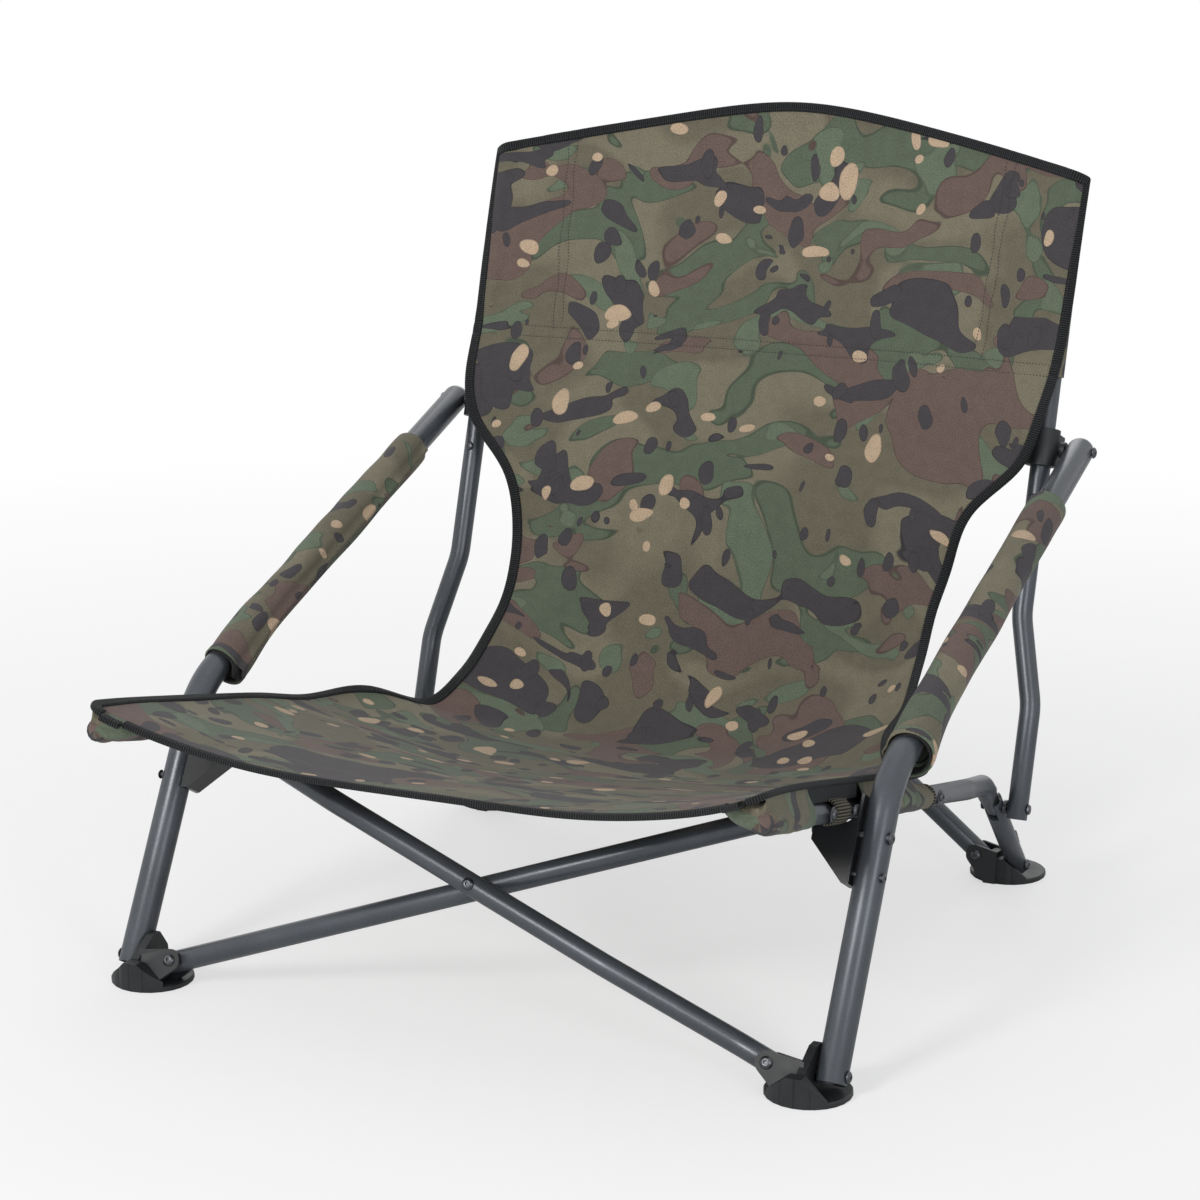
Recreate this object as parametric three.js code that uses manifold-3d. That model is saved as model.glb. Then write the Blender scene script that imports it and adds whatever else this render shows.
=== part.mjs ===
// Low folding chair: tube frame with crossed struts, camouflage sling seat and padded arms.
// Millimetres, +Z up, +X to the right as seen from the front, +Y towards the back.
// Each side frame is drawn once for +X and mirrored, because the two sides are handed copies.
import * as THREE from 'three';
import { mergeVertices } from 'three/addons/utils/BufferGeometryUtils.js';
import Module from 'manifold-3d';

const wasm = await Module();
wasm.setup();

// Driving dimensions

const gap = 0.35; // between neighbours that touch on the real chair
const overrun = 6; // how far a cutting solid passes the face that it cuts
const tubeSides = 14;
const boreSides = 10;
const discSides = 24;
const clothColumns = 14;
const pinSides = 8;
const bendStep = 16; // degrees of a bend from ring to ring

const originDepth = 308.5; // the middle of the chair's depth lies this far behind the front feet

// Arm and front leg: a lower run that leans back from the foot pin, one bend, and the arm up to its top pin
const arm = { radius: 12.5, wall: 1.5, x: 317, bendRadius: 85, footY: 2.3, footZ: 17.6, topY: 597.7,
  topZ: 400,
  lean: 28.5, rise: 19.8, below: 7, boreStop: 22 };
// Every thinner tube
const strut = { radius: 9.25, wall: 1.3, bendRadius: 40, bowBendRadius: 90, pastPin: 4.8 };

const frontFoot = { x: 298, y: 0 };
const rearFoot = { x: 268, y: 578 };
const foot = { radius: 35, base: 5, rim: 0.9, hill: 24.5, hillDeep: 11, groove: 0.8, grooveX: 1.5,
  grooveStep: 12.3,
  finThick: 7, finTop: 39, ear: 3.6, earRadius: 9.5, webGap: 12, webTop: 5, earDrop: 26, blind: 5 };

const frontCross = { x: 270, y: -6, z: 22, lean: 23, up: 199.9, bow: 20, stub: 30, bowFrom: 125,
  bowTo: -138 };
const rearCross = { x: 248, y: 556, z: 24, bow: 20, stub: 30, bowFrom: -130, bowTo: 130 };

const rail = { x: 290, slope: 12.5, hubY: 90.5, hubZ: 203, frontY: -80, kneeY: 385, bendX: 283.5,
  bendY: 451, bendZ: 123.1,
  rearX: 281, tongue: 8, tongueFrom: 24, tubeStop: 15, plug: 3 };
const pivot = { y: 491, z: 92.4, washer: 6.4 }; // shared by rail, rear leg and upright
const rearLeg = { footY: 564, footZ: 16, above: 11, below: 5.8, slotDeep: 12, swing: 12.04 };

const upright = { lowX: 303.5, highX: 285, lean: 17.53, span: 571.1, jogFrom: 92.9, jogTo: 172.6,
  below: 10, stopAt: 278.5,
  cap: 3 };
const collar = { length: 34, wall: 4.9, lugX: 13, lugHigh: 26, lugDeep: 23, boss: 7.5, tongue: 4,
  tongueReach: 10 };

const hub = { lobe: 9.5, ear: 3.5, bridgeFrom: 10.9, bridgeTo: 13.4, innerX: 263, blockDeep: 12.4,
  blockLow: 8.2,
  blockHigh: 8.2 };

// Cradle on the leg, measured along the leg from its foot pin and back from its axis
const cradle = { sheet: 2.5, front: -12.3, low: 147, innerX: 267, earLow: 178, earTop: 193.5,
  rimTop: 219, seat: 199,
  footX: 298, rimDeep: 26, innerDeep: 22, pinBack: -5.7, pinAt: 187.6, rivetAt: 156 };

const pin = { radius: 2.9, head: 5.2, high: 2.4, flat: 1.5 };
const bolt = { radius: 2.2, head: 4, high: 1.8 };

const pad = { radius: 17.2, from: 20, length: 362 };

const cloth = { thick: 1.8, half: 298.8, reach: 100, wall: 1.5, apex: 24.5, apexHalf: 1.6, pocketTo: 38,
  sleeveFrom: 114, sleeveTo: 345, seamGap: 1.5, channelAt: 385, channelTop: 575, cornerX: 284,
  cornerAhead: 10.4, finRise: 1.4 };

const colour = { tube: 0x3c3f45, moulded: 0x1f2124, bolt: 0x4a4d52, cloth: 0x5b5a41, pad: 0x55563f };

// Directions

const radians = THREE.MathUtils.degToRad;
const vector = (x, y, z) => new THREE.Vector3(x, y, z);
const sideways = vector(1, 0, 0);
const backwards = vector(0, 1, 0);
const upwards = vector(0, 0, 1);
const leaningUp = (lean) => vector(0, Math.sin(radians(lean)), Math.cos(radians(lean)));
const leaningBack = (lean) => vector(0, Math.cos(radians(lean)), -Math.sin(radians(lean)));

// A point reached from another by steps, each a direction and a length
function reach(start, ...steps) {
  const point = start.clone();
  for (let i = 0; i < steps.length; i += 2) point.addScaledVector(steps[i], steps[i + 1]);
  return point;
}

const towards = (from, to) => to.clone().sub(from).normalize();
const between = (from, to, share) => from.clone().lerp(to, share);

// Solids: closed triangle meshes that can be joined and cut

function facingOut(geometry) {
  const position = geometry.attributes.position;
  const index = geometry.index.array;
  const corner = [vector(0, 0, 0), vector(0, 0, 0), vector(0, 0, 0)];
  let volume = 0;
  for (let i = 0; i < index.length; i += 3) {
    corner.forEach((point, k) => point.fromBufferAttribute(position, index[i + k]));
    volume += corner[0].dot(corner[1].cross(corner[2]));
  }
  if (volume < 0) {
    for (let i = 0; i < index.length; i += 3) [index[i], index[i + 1]] = [index[i + 1], index[i]];
  }
  return geometry;
}

function solid(geometry) {
  const bare = geometry.clone();
  bare.deleteAttribute('normal');
  bare.deleteAttribute('uv');
  const merged = facingOut(mergeVertices(bare));
  return new wasm.Manifold(new wasm.Mesh({
    numProp: 3,
    vertProperties: new Float32Array(merged.attributes.position.array),
    triVerts: new Uint32Array(merged.index.array),
  }));
}

function surfaceOf(body, mirrored) {
  const mesh = body.getMesh();
  const position = new THREE.BufferAttribute(new Float32Array(mesh.vertProperties), mesh.numProp);
  const index = new THREE.BufferAttribute(new Uint32Array(mesh.triVerts), 1);
  const geometry = new THREE.BufferGeometry();
  geometry.setAttribute('position', position);
  geometry.setIndex(index);
  if (mirrored) geometry.scale(-1, 1, 1);
  return facingOut(geometry);
}

const join = (first, ...others) => others.reduce((sum, other) => sum.add(other), first);
const cut = (first, ...others) => others.reduce((rest, other) => rest.subtract(other), first);

// A frame with its Z along one direction and its X as near as may be to another
function frameAt(origin, zAxis, xHint) {
  const z = zAxis.clone().normalize();
  const y = z.clone().cross(xHint).normalize();
  const x = y.clone().cross(z);
  return new THREE.Matrix4().makeBasis(x, y, z).setPosition(origin);
}

const acrossOf = (axis) => (Math.abs(axis.clone().normalize().x) > Math.SQRT1_2 ? backwards : sideways);

// A round bar from one point to another
function bar(from, to, radius, sides = tubeSides) {
  const axis = to.clone().sub(from);
  const shape = new THREE.CylinderGeometry(radius, radius, axis.length(), sides);
  shape.rotateX(radians(90));
  shape.applyMatrix4(frameAt(between(from, to, 1 / 2), axis, acrossOf(axis)));
  return solid(shape);
}

// A flat plate: an outline drawn in the plane of two directions, given thickness along their normal
function plate(points, origin, right, up, thickness) {
  const outline = points instanceof THREE.Shape ? points : new THREE.Shape(points.map(([x, y]) =>
    new THREE.Vector2(x, y)));
  const shape = new THREE.ExtrudeGeometry(outline,
    { depth: thickness, bevelEnabled: false, curveSegments: 5 });
  shape.applyMatrix4(new THREE.Matrix4().makeBasis(right, up, right.clone().cross(up)).setPosition(origin));
  return solid(shape);
}

// A bent tube's centre line, with one ring of the tube at each end and a few round each bend
class BentPath extends THREE.Curve {
  constructor(corners, bendRadius) {
    super();
    this.rings = [];
    const last = corners.length - 1;
    this.rings.push({ point: corners[0].clone(), tangent: towards(corners[0], corners[1]) });
    for (let i = 1; i < last; i += 1) this.addBend(corners[i - 1], corners[i], corners[i + 1], bendRadius);
    this.rings.push({ point: corners[last].clone(), tangent: towards(corners[last - 1], corners[last]) });
  }

  addBend(before, corner, after, bendRadius) {
    const into = towards(before, corner);
    const out = towards(corner, after);
    const turn = into.angleTo(out);
    const inward = out.clone().addScaledVector(into, -out.dot(into)).normalize();
    const centre = reach(corner, into, -bendRadius * Math.tan(turn / 2), inward, bendRadius);
    const count = Math.max(1, Math.ceil(turn / radians(bendStep)));
    for (let k = 0; k <= count; k += 1) {
      const angle = turn * k / count;
      const tangent = into.clone().multiplyScalar(Math.cos(angle)).addScaledVector(inward, Math.sin(angle));
      const outward = inward.clone().multiplyScalar(-Math.cos(angle)).addScaledVector(into,
        Math.sin(angle));
      this.rings.push({ point: reach(centre, outward, bendRadius), tangent });
    }
  }

  ringAt(t) {
    return this.rings[Math.round(t * (this.rings.length - 1))];
  }

  getUtoTmapping(u) {
    return u;
  }

  getPoint(t) {
    return this.ringAt(t).point.clone();
  }

  getTangent(t) {
    return this.ringAt(t).tangent.clone();
  }
}

function roundOutline(radius, sides) {
  const points = [];
  for (let i = 0; i < sides; i += 1) {
    const angle = 2 * Math.PI * i / sides;
    points.push(new THREE.Vector2(radius * Math.cos(angle), radius * Math.sin(angle)));
  }
  return new THREE.Shape(points);
}

function bentBar(corners, bendRadius, radius, sides = tubeSides) {
  const path = new BentPath(corners, bendRadius);
  const options = { steps: path.rings.length - 1, bevelEnabled: false, extrudePath: path };
  return solid(new THREE.ExtrudeGeometry(roundOutline(radius, sides), options));
}

function lengthened(corners, atStart, atEnd) {
  const last = corners.length - 1;
  const start = reach(corners[0], towards(corners[1], corners[0]), atStart);
  const end = reach(corners[last], towards(corners[last - 1], corners[last]), atEnd);
  return [start, ...corners.slice(1, last), end];
}

// A tube open at both ends, or from its start up to a stop before its end
function tube(corners, bendRadius, radius, wall, boreStop = -overrun) {
  const bore = bentBar(lengthened(corners, overrun, -boreStop), bendRadius, radius - wall, boreSides);
  return cut(bentBar(corners, bendRadius, radius), bore);
}

// A hole for a round bar, wide enough that the bar clears the hole's flats
function hole(from, to, radius, sides = pinSides) {
  const axis = towards(from, to);
  const wide = (radius + gap) / Math.cos(Math.PI / sides);
  return bar(reach(from, axis, -overrun), reach(to, axis, overrun), wide, sides);
}

// A rivet through a stack of pieces whose outer faces are given, with domed heads just off those faces
const domeShares = [[0, 0], [1, 0], [0.8, 0.75], [0, 1]];

function rivet(from, to, { kind = pin, start = true, end = true, startHigh = kind.high,
  endHigh = kind.high } = {}) {
  const axis = towards(from, to);
  const dome = (face, direction, high) => {
    const points = domeShares.map(([r, z]) => new THREE.Vector2(kind.head * r, high * z));
    const shape = new THREE.LatheGeometry(points, pinSides);
    shape.rotateX(radians(90));
    shape.applyMatrix4(frameAt(reach(face, direction, gap), direction, acrossOf(direction)));
    return solid(shape);
  };
  const first = start ? reach(from, axis, -gap - startHigh / 2) : from;
  const last = end ? reach(to, axis, gap + endHigh / 2) : to;
  const parts = [bar(first, last, kind.radius, pinSides)];
  if (start) parts.push(dome(from, axis.clone().negate(), startHigh));
  if (end) parts.push(dome(to, axis, endHigh));
  return join(...parts);
}

// Main points and directions of the right side

const legUp = leaningUp(arm.lean);
const legBack = leaningBack(arm.lean);
const armUp = vector(0, Math.cos(radians(arm.rise)), Math.sin(radians(arm.rise)));
const armFoot = vector(arm.x, arm.footY, arm.footZ);
const armTop = vector(arm.x, arm.topY, arm.topZ);

// Where two lines in the side plane meet
function crossing(p, along, q, other) {
  const offset = q.clone().sub(p);
  const area = along.y * other.z - along.z * other.y;
  return reach(p, along, (offset.y * other.z - offset.z * other.y) / area);
}

const armKnee = crossing(armFoot, legUp, armTop, armUp);

const planeUp = leaningUp(frontCross.lean);
const planeBack = leaningBack(frontCross.lean);
const frontPin = vector(frontCross.x, frontCross.y, frontCross.z);
const hubPin = reach(frontPin, planeUp, frontCross.up);

const railRise = vector(0, Math.cos(radians(rail.slope)), -Math.sin(radians(rail.slope)));
const hubSide = vector(rail.x, rail.hubY, rail.hubZ);
const railAt = (y) => reach(hubSide, railRise, (y - rail.hubY) / railRise.y);
const railUp = vector(0, -railRise.z, railRise.y);

const uprightUp = leaningUp(upright.lean);
const uprightBack = leaningBack(upright.lean);
const uprightAt = (along) => {
  const share = THREE.MathUtils.clamp((along - upright.jogFrom) / (upright.jogTo - upright.jogFrom), 0, 1);
  const x = THREE.MathUtils.lerp(upright.lowX, upright.highX, share);
  return reach(vector(x, pivot.y, pivot.z), uprightUp, along);
};

const railPivot = vector(rail.rearX, pivot.y, pivot.z);
const rearLegPin = vector(rail.rearX, rearLeg.footY, rearLeg.footZ);
const rearPin = vector(rearCross.x, rearCross.y, rearCross.z);
const rearTop = vector(rearCross.x, arm.topY, arm.topZ);
const rearUp = vector(0, rearTop.y - rearPin.y, rearTop.z - rearPin.z).normalize();
const rearBack = vector(0, rearUp.z, -rearUp.y);
const clevisHalf = strut.radius + gap;

const mirrored = (point) => vector(-point.x, point.y, point.z);

// Feet: a disc with a hill at its front edge, a fin beside the leg and two ears for a cross tube

const hillShares = [[-0.96, 0], [-0.16, 1], [0.2, 1], [0.84, 0]];
const finShares = [[-0.66, 0], [-0.66, 0.62], [0.06, 1], [0.34, 1], [0.66, 0.6], [0.76, 0]];

function footBody(place, legPin, legRadius, legDirections, crossPin, up, back) {
  const centre = vector(place.x, place.y, 0);
  const disc = new THREE.LatheGeometry([
    [0, 0], [foot.radius - foot.rim, 0], [foot.radius, foot.rim],
    [foot.radius, foot.base - foot.rim], [foot.radius - foot.rim, foot.base], [0, foot.base],
  ].map(([r, z]) => new THREE.Vector2(r, z)), discSides);
  disc.rotateX(radians(90));
  disc.translate(place.x, place.y, 0);

  const hillOutline = hillShares.map(([x, z]) =>
    [x * foot.radius, foot.base / 2 + z * (foot.hill - foot.base / 2)]);
  const hillBack = reach(centre, backwards, foot.hillDeep - foot.radius);
  const round = bar(centre, reach(centre, upwards, foot.hill + overrun), foot.radius, discSides);
  const hill = plate(hillOutline, hillBack, sideways, upwards, foot.radius).intersect(round);
  const grooves = [-1, 0, 1].map((i) => {
    const x = foot.grooveX + i * foot.grooveStep;
    const y = -Math.sqrt(foot.radius ** 2 - x ** 2);
    const low = reach(centre, sideways, x, backwards, y, upwards, foot.rim);
    return bar(low, reach(low, upwards, foot.hill + overrun), foot.groove, pinSides);
  });

  const finOuter = legPin.x - legRadius - gap;
  const finOutline = finShares.map(([y, z]) =>
    [y * foot.radius, foot.base / 2 + z * (foot.finTop - foot.base / 2)]);
  const fin = plate(finOutline, vector(finOuter - foot.finThick, place.y, 0), backwards, upwards,
    foot.finThick);

  const inward = finOuter - foot.finThick / 2 - crossPin.x;
  const ear = new THREE.Shape();
  ear.moveTo(inward, foot.webTop);
  ear.lineTo(0, foot.earRadius);
  ear.absarc(0, 0, foot.earRadius, Math.PI / 2, 1.25 * Math.PI, false);
  ear.lineTo(inward / 2, -foot.earDrop);
  ear.lineTo(inward, -foot.earDrop);
  const ears = [-clevisHalf - foot.ear, clevisHalf].map((offset) => (
    plate(ear, reach(crossPin, back, offset + foot.ear), sideways, up, foot.ear)
  ));
  const webOutline = [[foot.webGap, foot.webTop], [foot.webGap, -foot.earDrop], [inward, -foot.earDrop],
    [inward, foot.webTop]];
  const web = plate(webOutline, reach(crossPin, back, clevisHalf + gap), sideways, up,
    2 * (clevisHalf + gap));
  const aboveGround = bar(reach(centre, upwards, foot.rim), reach(centre, upwards, foot.finTop + overrun),
    2 * foot.radius, tubeSides);

  const clevis = join(...ears, web).intersect(aboveGround);
  const body = cut(join(solid(disc), hill, fin, clevis), ...grooves);
  const legRoom = legDirections.map((direction) => (
    bar(reach(legPin, direction, -legRadius / 2), reach(legPin, direction, foot.radius), legRadius + gap)
  ));
  const turningRoom = bar(reach(crossPin, back, -clevisHalf), reach(crossPin, back, clevisHalf),
    Math.hypot(strut.radius, strut.pastPin) + gap);
  const pinHole = hole(reach(legPin, sideways, finOuter - foot.blind + overrun - legPin.x), legPin,
    pin.radius);
  const crossHole = hole(reach(crossPin, back, -clevisHalf), reach(crossPin, back, clevisHalf), pin.radius);
  return cut(body, ...legRoom, turningRoom, crossHole, pinHole);
}

// The ways each leg points, up from its foot pin, from in use to folded
const turned = (direction, degrees) => direction.clone().applyAxisAngle(sideways, radians(degrees));
const rearLegUp = towards(rearLegPin, railPivot);
const rearLegWays = [0, 1 / 2, 1].map((share) => turned(rearLegUp, -share * rearLeg.swing));
const frontFootBody = footBody(frontFoot, armFoot, arm.radius, [], frontPin, planeUp, planeBack);
const rearFootBody = footBody(rearFoot, rearLegPin, strut.radius, rearLegWays, rearPin, rearUp, rearBack);

// Arm and front leg: open at the foot, domed at the top

const armAxis = lengthened([armFoot, armKnee, armTop], arm.below, 0);
const across = (point, half) => [reach(point, sideways, -half), reach(point, sideways, half)];
const cradlePoint = (along) => reach(armFoot, legUp, along, legBack, cradle.pinBack);
const dome = new THREE.SphereGeometry(arm.radius, tubeSides, tubeSides / 2);
dome.rotateX(radians(90));
dome.applyMatrix4(frameAt(armTop, armUp, sideways));
const armBody = cut(
  join(bentBar(armAxis, arm.bendRadius, arm.radius), solid(dome)),
  bentBar(lengthened(armAxis, overrun, -arm.boreStop), arm.bendRadius, arm.radius - arm.wall, boreSides),
  hole(...across(armFoot, arm.radius), pin.radius),
  hole(...across(armTop, arm.radius), pin.radius),
  hole(...across(cradlePoint(cradle.pinAt), arm.radius), pin.radius),
  hole(...across(cradlePoint(cradle.rivetAt), arm.radius), bolt.radius),
);

// Cradle: a pressed sheet with a folded rim beside the leg and a slanted folded rim on its inner side

const sheetX = arm.x - arm.radius - gap;
const legPlate = (points, from, deep) => (
  plate(points.map(([x, along]) => [x, along]),
    reach(vector(0, arm.footY, arm.footZ), legBack, from + deep), sideways,
    legUp, deep)
);
const cradleWeb = legPlate([[sheetX, cradle.low], [sheetX, cradle.seat],
  [rail.x - strut.radius, cradle.seat],
  [rail.x - strut.radius, cradle.earTop], [cradle.innerX, cradle.earTop], [cradle.innerX, cradle.earLow],
  [cradle.footX, cradle.low]], cradle.front, cradle.sheet);
const rimOuter = legPlate([[sheetX - cradle.sheet, cradle.low], [sheetX, cradle.low],
  [sheetX, cradle.rimTop],
  [sheetX - cradle.sheet, cradle.rimTop]], cradle.front, cradle.rimDeep);
const rimInner = legPlate([[cradle.innerX, cradle.earTop], [cradle.innerX, cradle.earLow],
  [cradle.footX, cradle.low],
  [sheetX, cradle.low], [sheetX, cradle.low + cradle.sheet],
    [cradle.footX + cradle.sheet, cradle.low + cradle.sheet],
  [cradle.innerX + cradle.sheet, cradle.earLow + cradle.sheet],
    [cradle.innerX + cradle.sheet, cradle.earTop]],
cradle.front, cradle.innerDeep);
const cradlePinInner = reach(cradlePoint(cradle.pinAt), sideways, cradle.innerX - arm.x);
const cradlePinOuter = reach(cradlePoint(cradle.pinAt), sideways, arm.radius);
const cradleRivetInner = reach(cradlePoint(cradle.rivetAt), sideways, sheetX - cradle.sheet - arm.x);
const cradleRivetOuter = reach(cradlePoint(cradle.rivetAt), sideways, arm.radius);
const cradleBody = cut(
  join(cradleWeb, rimOuter, rimInner),
  hole(railAt(rail.hubY - arm.radius), railAt(rail.hubY + arm.radius), strut.radius, tubeSides),
  hole(cradlePinInner, cradlePinOuter, pin.radius),
  hole(cradleRivetInner, cradleRivetOuter, bolt.radius),
);

// Rail hub: two ears round the cross tube's end, a bridge over it and a block beside the rail

const hubOuterX = rail.x - strut.radius - gap;
const hubOutline = new THREE.Shape();
hubOutline.moveTo(hub.innerX - frontCross.x, hub.bridgeTo);
hubOutline.absarc(0, 0, hub.lobe, Math.PI, 2 * Math.PI, false);
hubOutline.lineTo(hubOuterX - frontCross.x, hub.bridgeTo);
const hubEars = [-clevisHalf - hub.ear, clevisHalf].map((offset) => (
  plate(hubOutline, reach(hubPin, planeBack, offset + hub.ear), sideways, planeUp, hub.ear)
));
const hubPlate = (low, high, from, deep) => (
  plate([[hub.innerX, low], [hubOuterX, low], [hubOuterX, high], [hub.innerX, high]],
    reach(vector(0, hubPin.y, hubPin.z), planeBack, from + deep), sideways, planeUp, deep)
);
const sideUp = hubSide.clone().sub(hubPin).dot(planeUp);
const sideBack = hubSide.clone().sub(hubPin).dot(planeBack);
const hubBridge = hubPlate(hub.bridgeFrom, hub.bridgeTo, -clevisHalf - hub.ear, 2 * (clevisHalf + hub.ear));
const blockFrom = clevisHalf + hub.ear / 2;
const hubBlock = hubPlate(sideUp - hub.blockLow, sideUp + hub.blockHigh, blockFrom, sideBack +
  hub.blockDeep / 2 - blockFrom);
const hubSideInner = reach(hubSide, sideways, hub.innerX - rail.x);
const hubSideOuter = reach(hubSide, sideways, strut.radius);
const hubPinFront = reach(hubPin, planeBack, -clevisHalf - hub.ear);
const hubPinRear = reach(hubPin, planeBack, clevisHalf + hub.ear);
const hubBody = cut(
  join(...hubEars, hubBridge, hubBlock),
  hole(hubPinFront, reach(hubPin, planeBack, clevisHalf), pin.radius),
  hole(hubSideInner, hubSideOuter, pin.radius),
);

// Seat rail: slopes down to the rear, bends down and in, and ends in a flat tongue

const railFront = railAt(rail.frontY);
const railBend = vector(rail.bendX, rail.bendY, rail.bendZ);
const railKnee = railAt(rail.kneeY);
const railEnd = towards(railBend, railPivot);
const railAxis = [railFront, railKnee, railBend, reach(railPivot, railEnd, -rail.tubeStop)];
const tongueUp = vector(0, -railEnd.z, railEnd.y).normalize();
const tongueAlong = vector(0, railEnd.y, railEnd.z).normalize();
const tongueOutline = new THREE.Shape();
tongueOutline.moveTo(-rail.tongueFrom, -strut.radius + strut.wall);
tongueOutline.absarc(0, 0, strut.radius - strut.wall, -Math.PI / 2, Math.PI / 2, false);
tongueOutline.lineTo(-rail.tongueFrom, strut.radius - strut.wall);
const tongue = plate(tongueOutline, reach(railPivot, sideways, -rail.tongue / 2), tongueAlong, tongueUp,
  rail.tongue);
const railBody = cut(
  join(tube(railAxis, strut.bendRadius, strut.radius, strut.wall), tongue),
  hole(reach(hubSide, sideways, -strut.radius), hubSideOuter, pin.radius),
  hole(...across(railPivot, rail.tongue / 2), pin.radius),
);

const plugRadius = (strut.radius - strut.wall) * Math.cos(Math.PI / boreSides) - gap;
const plugBack = reach(railFront, railRise, 2 * overrun);
const railPlug = join(
  bar(reach(railFront, railRise, -gap - rail.plug), reach(railFront, railRise, -gap), strut.radius),
  bar(reach(railFront, railRise, -gap - rail.plug / 2), plugBack, plugRadius),
);

// Rear leg: slotted at the top for the rail's tongue, open at the foot

const rearLegDown = towards(railPivot, rearLegPin);
const rearLegBack = vector(0, -rearLegDown.z, rearLegDown.y);
const slotHalf = rail.tongue / 2 + gap;
const slot = plate([[-slotHalf, -rearLeg.above - overrun], [slotHalf, -rearLeg.above - overrun],
  [slotHalf, rearLeg.slotDeep], [-slotHalf, rearLeg.slotDeep]],
reach(railPivot, rearLegBack, -2 * strut.radius), sideways, rearLegDown, 4 * strut.radius);
const rearLegBody = cut(
  tube(lengthened([railPivot, rearLegPin], rearLeg.above, rearLeg.below), strut.bendRadius, strut.radius,
    strut.wall),
  slot,
  hole(...across(railPivot, strut.radius), pin.radius),
  hole(...across(rearLegPin, strut.radius), pin.radius),
);

// Back upright: jogs inward above its pivot and runs up through the collar into the fabric's corner

const uprightAxis = [uprightAt(-upright.below), uprightAt(upright.jogFrom), uprightAt(upright.jogTo),
  uprightAt(upright.span)];
const stopAt = uprightAt(upright.stopAt);
const uprightBody = cut(
  tube(uprightAxis, strut.bendRadius * 2, strut.radius, strut.wall),
  hole(...across(vector(upright.lowX, pivot.y, pivot.z), strut.radius), pin.radius),
  hole(reach(stopAt, uprightBack, -strut.radius), reach(stopAt, uprightBack, strut.radius), bolt.radius),
);
const uprightCap = join(
  bar(uprightAt(upright.span + gap), uprightAt(upright.span + gap + upright.cap), strut.radius),
  bar(uprightAt(upright.span - 2 * overrun), uprightAt(upright.span + gap + upright.cap / 2), plugRadius),
);

// Sliding collar: a sleeve with a lug behind it, a boss for the arm's top and a tongue for a cross
// tube's top

const collarAlong = armTop.clone().sub(uprightAt(0)).dot(uprightUp);
const collarBack = armTop.clone().sub(uprightAt(collarAlong)).dot(uprightBack);
const collarAt = uprightAt(collarAlong);
const collarRadius = strut.radius + gap + collar.wall;
const tongueFront = rearTop.clone().addScaledVector(rearBack, clevisHalf);
const lug = plate([[-collar.lugX, -collar.lugHigh / 2], [collar.lugX, -collar.lugHigh / 2],
  [collar.lugX, collar.lugHigh / 2], [-collar.lugX, collar.lugHigh / 2]],
reach(collarAt, uprightBack, collar.lugDeep), sideways, uprightUp, collar.lugDeep);
const lugTongue = new THREE.Shape();
lugTongue.moveTo(collarAt.x - rearTop.x, collar.tongueReach);
lugTongue.lineTo(0, collar.tongueReach);
lugTongue.absarc(0, 0, collar.tongueReach, Math.PI / 2, 1.5 * Math.PI, false);
lugTongue.lineTo(collarAt.x - rearTop.x, -collar.tongueReach);
const collarBody = cut(
  join(
    bar(uprightAt(collarAlong - collar.length / 2), uprightAt(collarAlong + collar.length / 2),
      collarRadius),
    lug,
    bar(vector(collarAt.x, arm.topY, arm.topZ), vector(sheetX, arm.topY, arm.topZ), collar.boss),
    plate(lugTongue, reach(tongueFront, rearBack, collar.tongue), sideways, rearUp, collar.tongue),
  ),
  hole(uprightAt(collarAlong - collar.length / 2), uprightAt(collarAlong + collar.length / 2),
    strut.radius, tubeSides),
);

// Cross tubes: in each pair one is straight and the other bowed clear of it

function crossTube(start, end, bowDirection, bow, back, stub, bowFrom, bowTo) {
  const axis = towards(start, end);
  const corners = [start];
  if (bow > 0) {
    const atX = (x) => between(start, end, (x - start.x) / (end.x - start.x));
    corners.push(reach(start, axis, stub), reach(atX(bowFrom), bowDirection, bow),
      reach(atX(bowTo), bowDirection, bow),
      reach(end, axis, -stub));
  }
  corners.push(end);
  const body = tube(lengthened(corners, strut.pastPin, strut.pastPin), strut.bowBendRadius, strut.radius,
    strut.wall);
  const ends = [start, end].map((point) => (
    hole(reach(point, back, -strut.radius), reach(point, back, strut.radius), pin.radius)
  ));
  return cut(body, ...ends);
}

const forwardInPlane = planeBack.clone().negate();
const straightFrontBar = crossTube(mirrored(frontPin), hubPin, forwardInPlane, 0, planeBack);
const bowedFrontBar = crossTube(frontPin, mirrored(hubPin), forwardInPlane, frontCross.bow, planeBack,
  frontCross.stub,
  frontCross.bowFrom, frontCross.bowTo);
const straightRearBar = crossTube(rearPin, mirrored(rearTop), rearBack, 0, rearBack);
const bowedRearBar = crossTube(mirrored(rearPin), rearTop, rearBack, rearCross.bow, rearBack,
  rearCross.stub,
  rearCross.bowFrom, rearCross.bowTo);

const frontMiddle = between(mirrored(frontPin), hubPin, frontPin.x / (frontPin.x + hubPin.x));
const frontNear = reach(frontMiddle, planeBack, -frontCross.bow - strut.radius);
const frontFar = reach(frontMiddle, planeBack, strut.radius);
const frontRivetHole = hole(frontNear, frontFar, pin.radius);

const rearMiddle = between(mirrored(rearPin), rearTop, 1 / 2);
const rearNear = reach(rearMiddle, rearBack, -strut.radius);
const rearSplit = reach(rearMiddle, rearBack, strut.radius);
const rearSplitBowed = reach(rearMiddle, rearBack, rearCross.bow - strut.radius);
const rearFar = reach(rearMiddle, rearBack, rearCross.bow + strut.radius);

// Padded sleeve round the arm, drawn in at its ends

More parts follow.
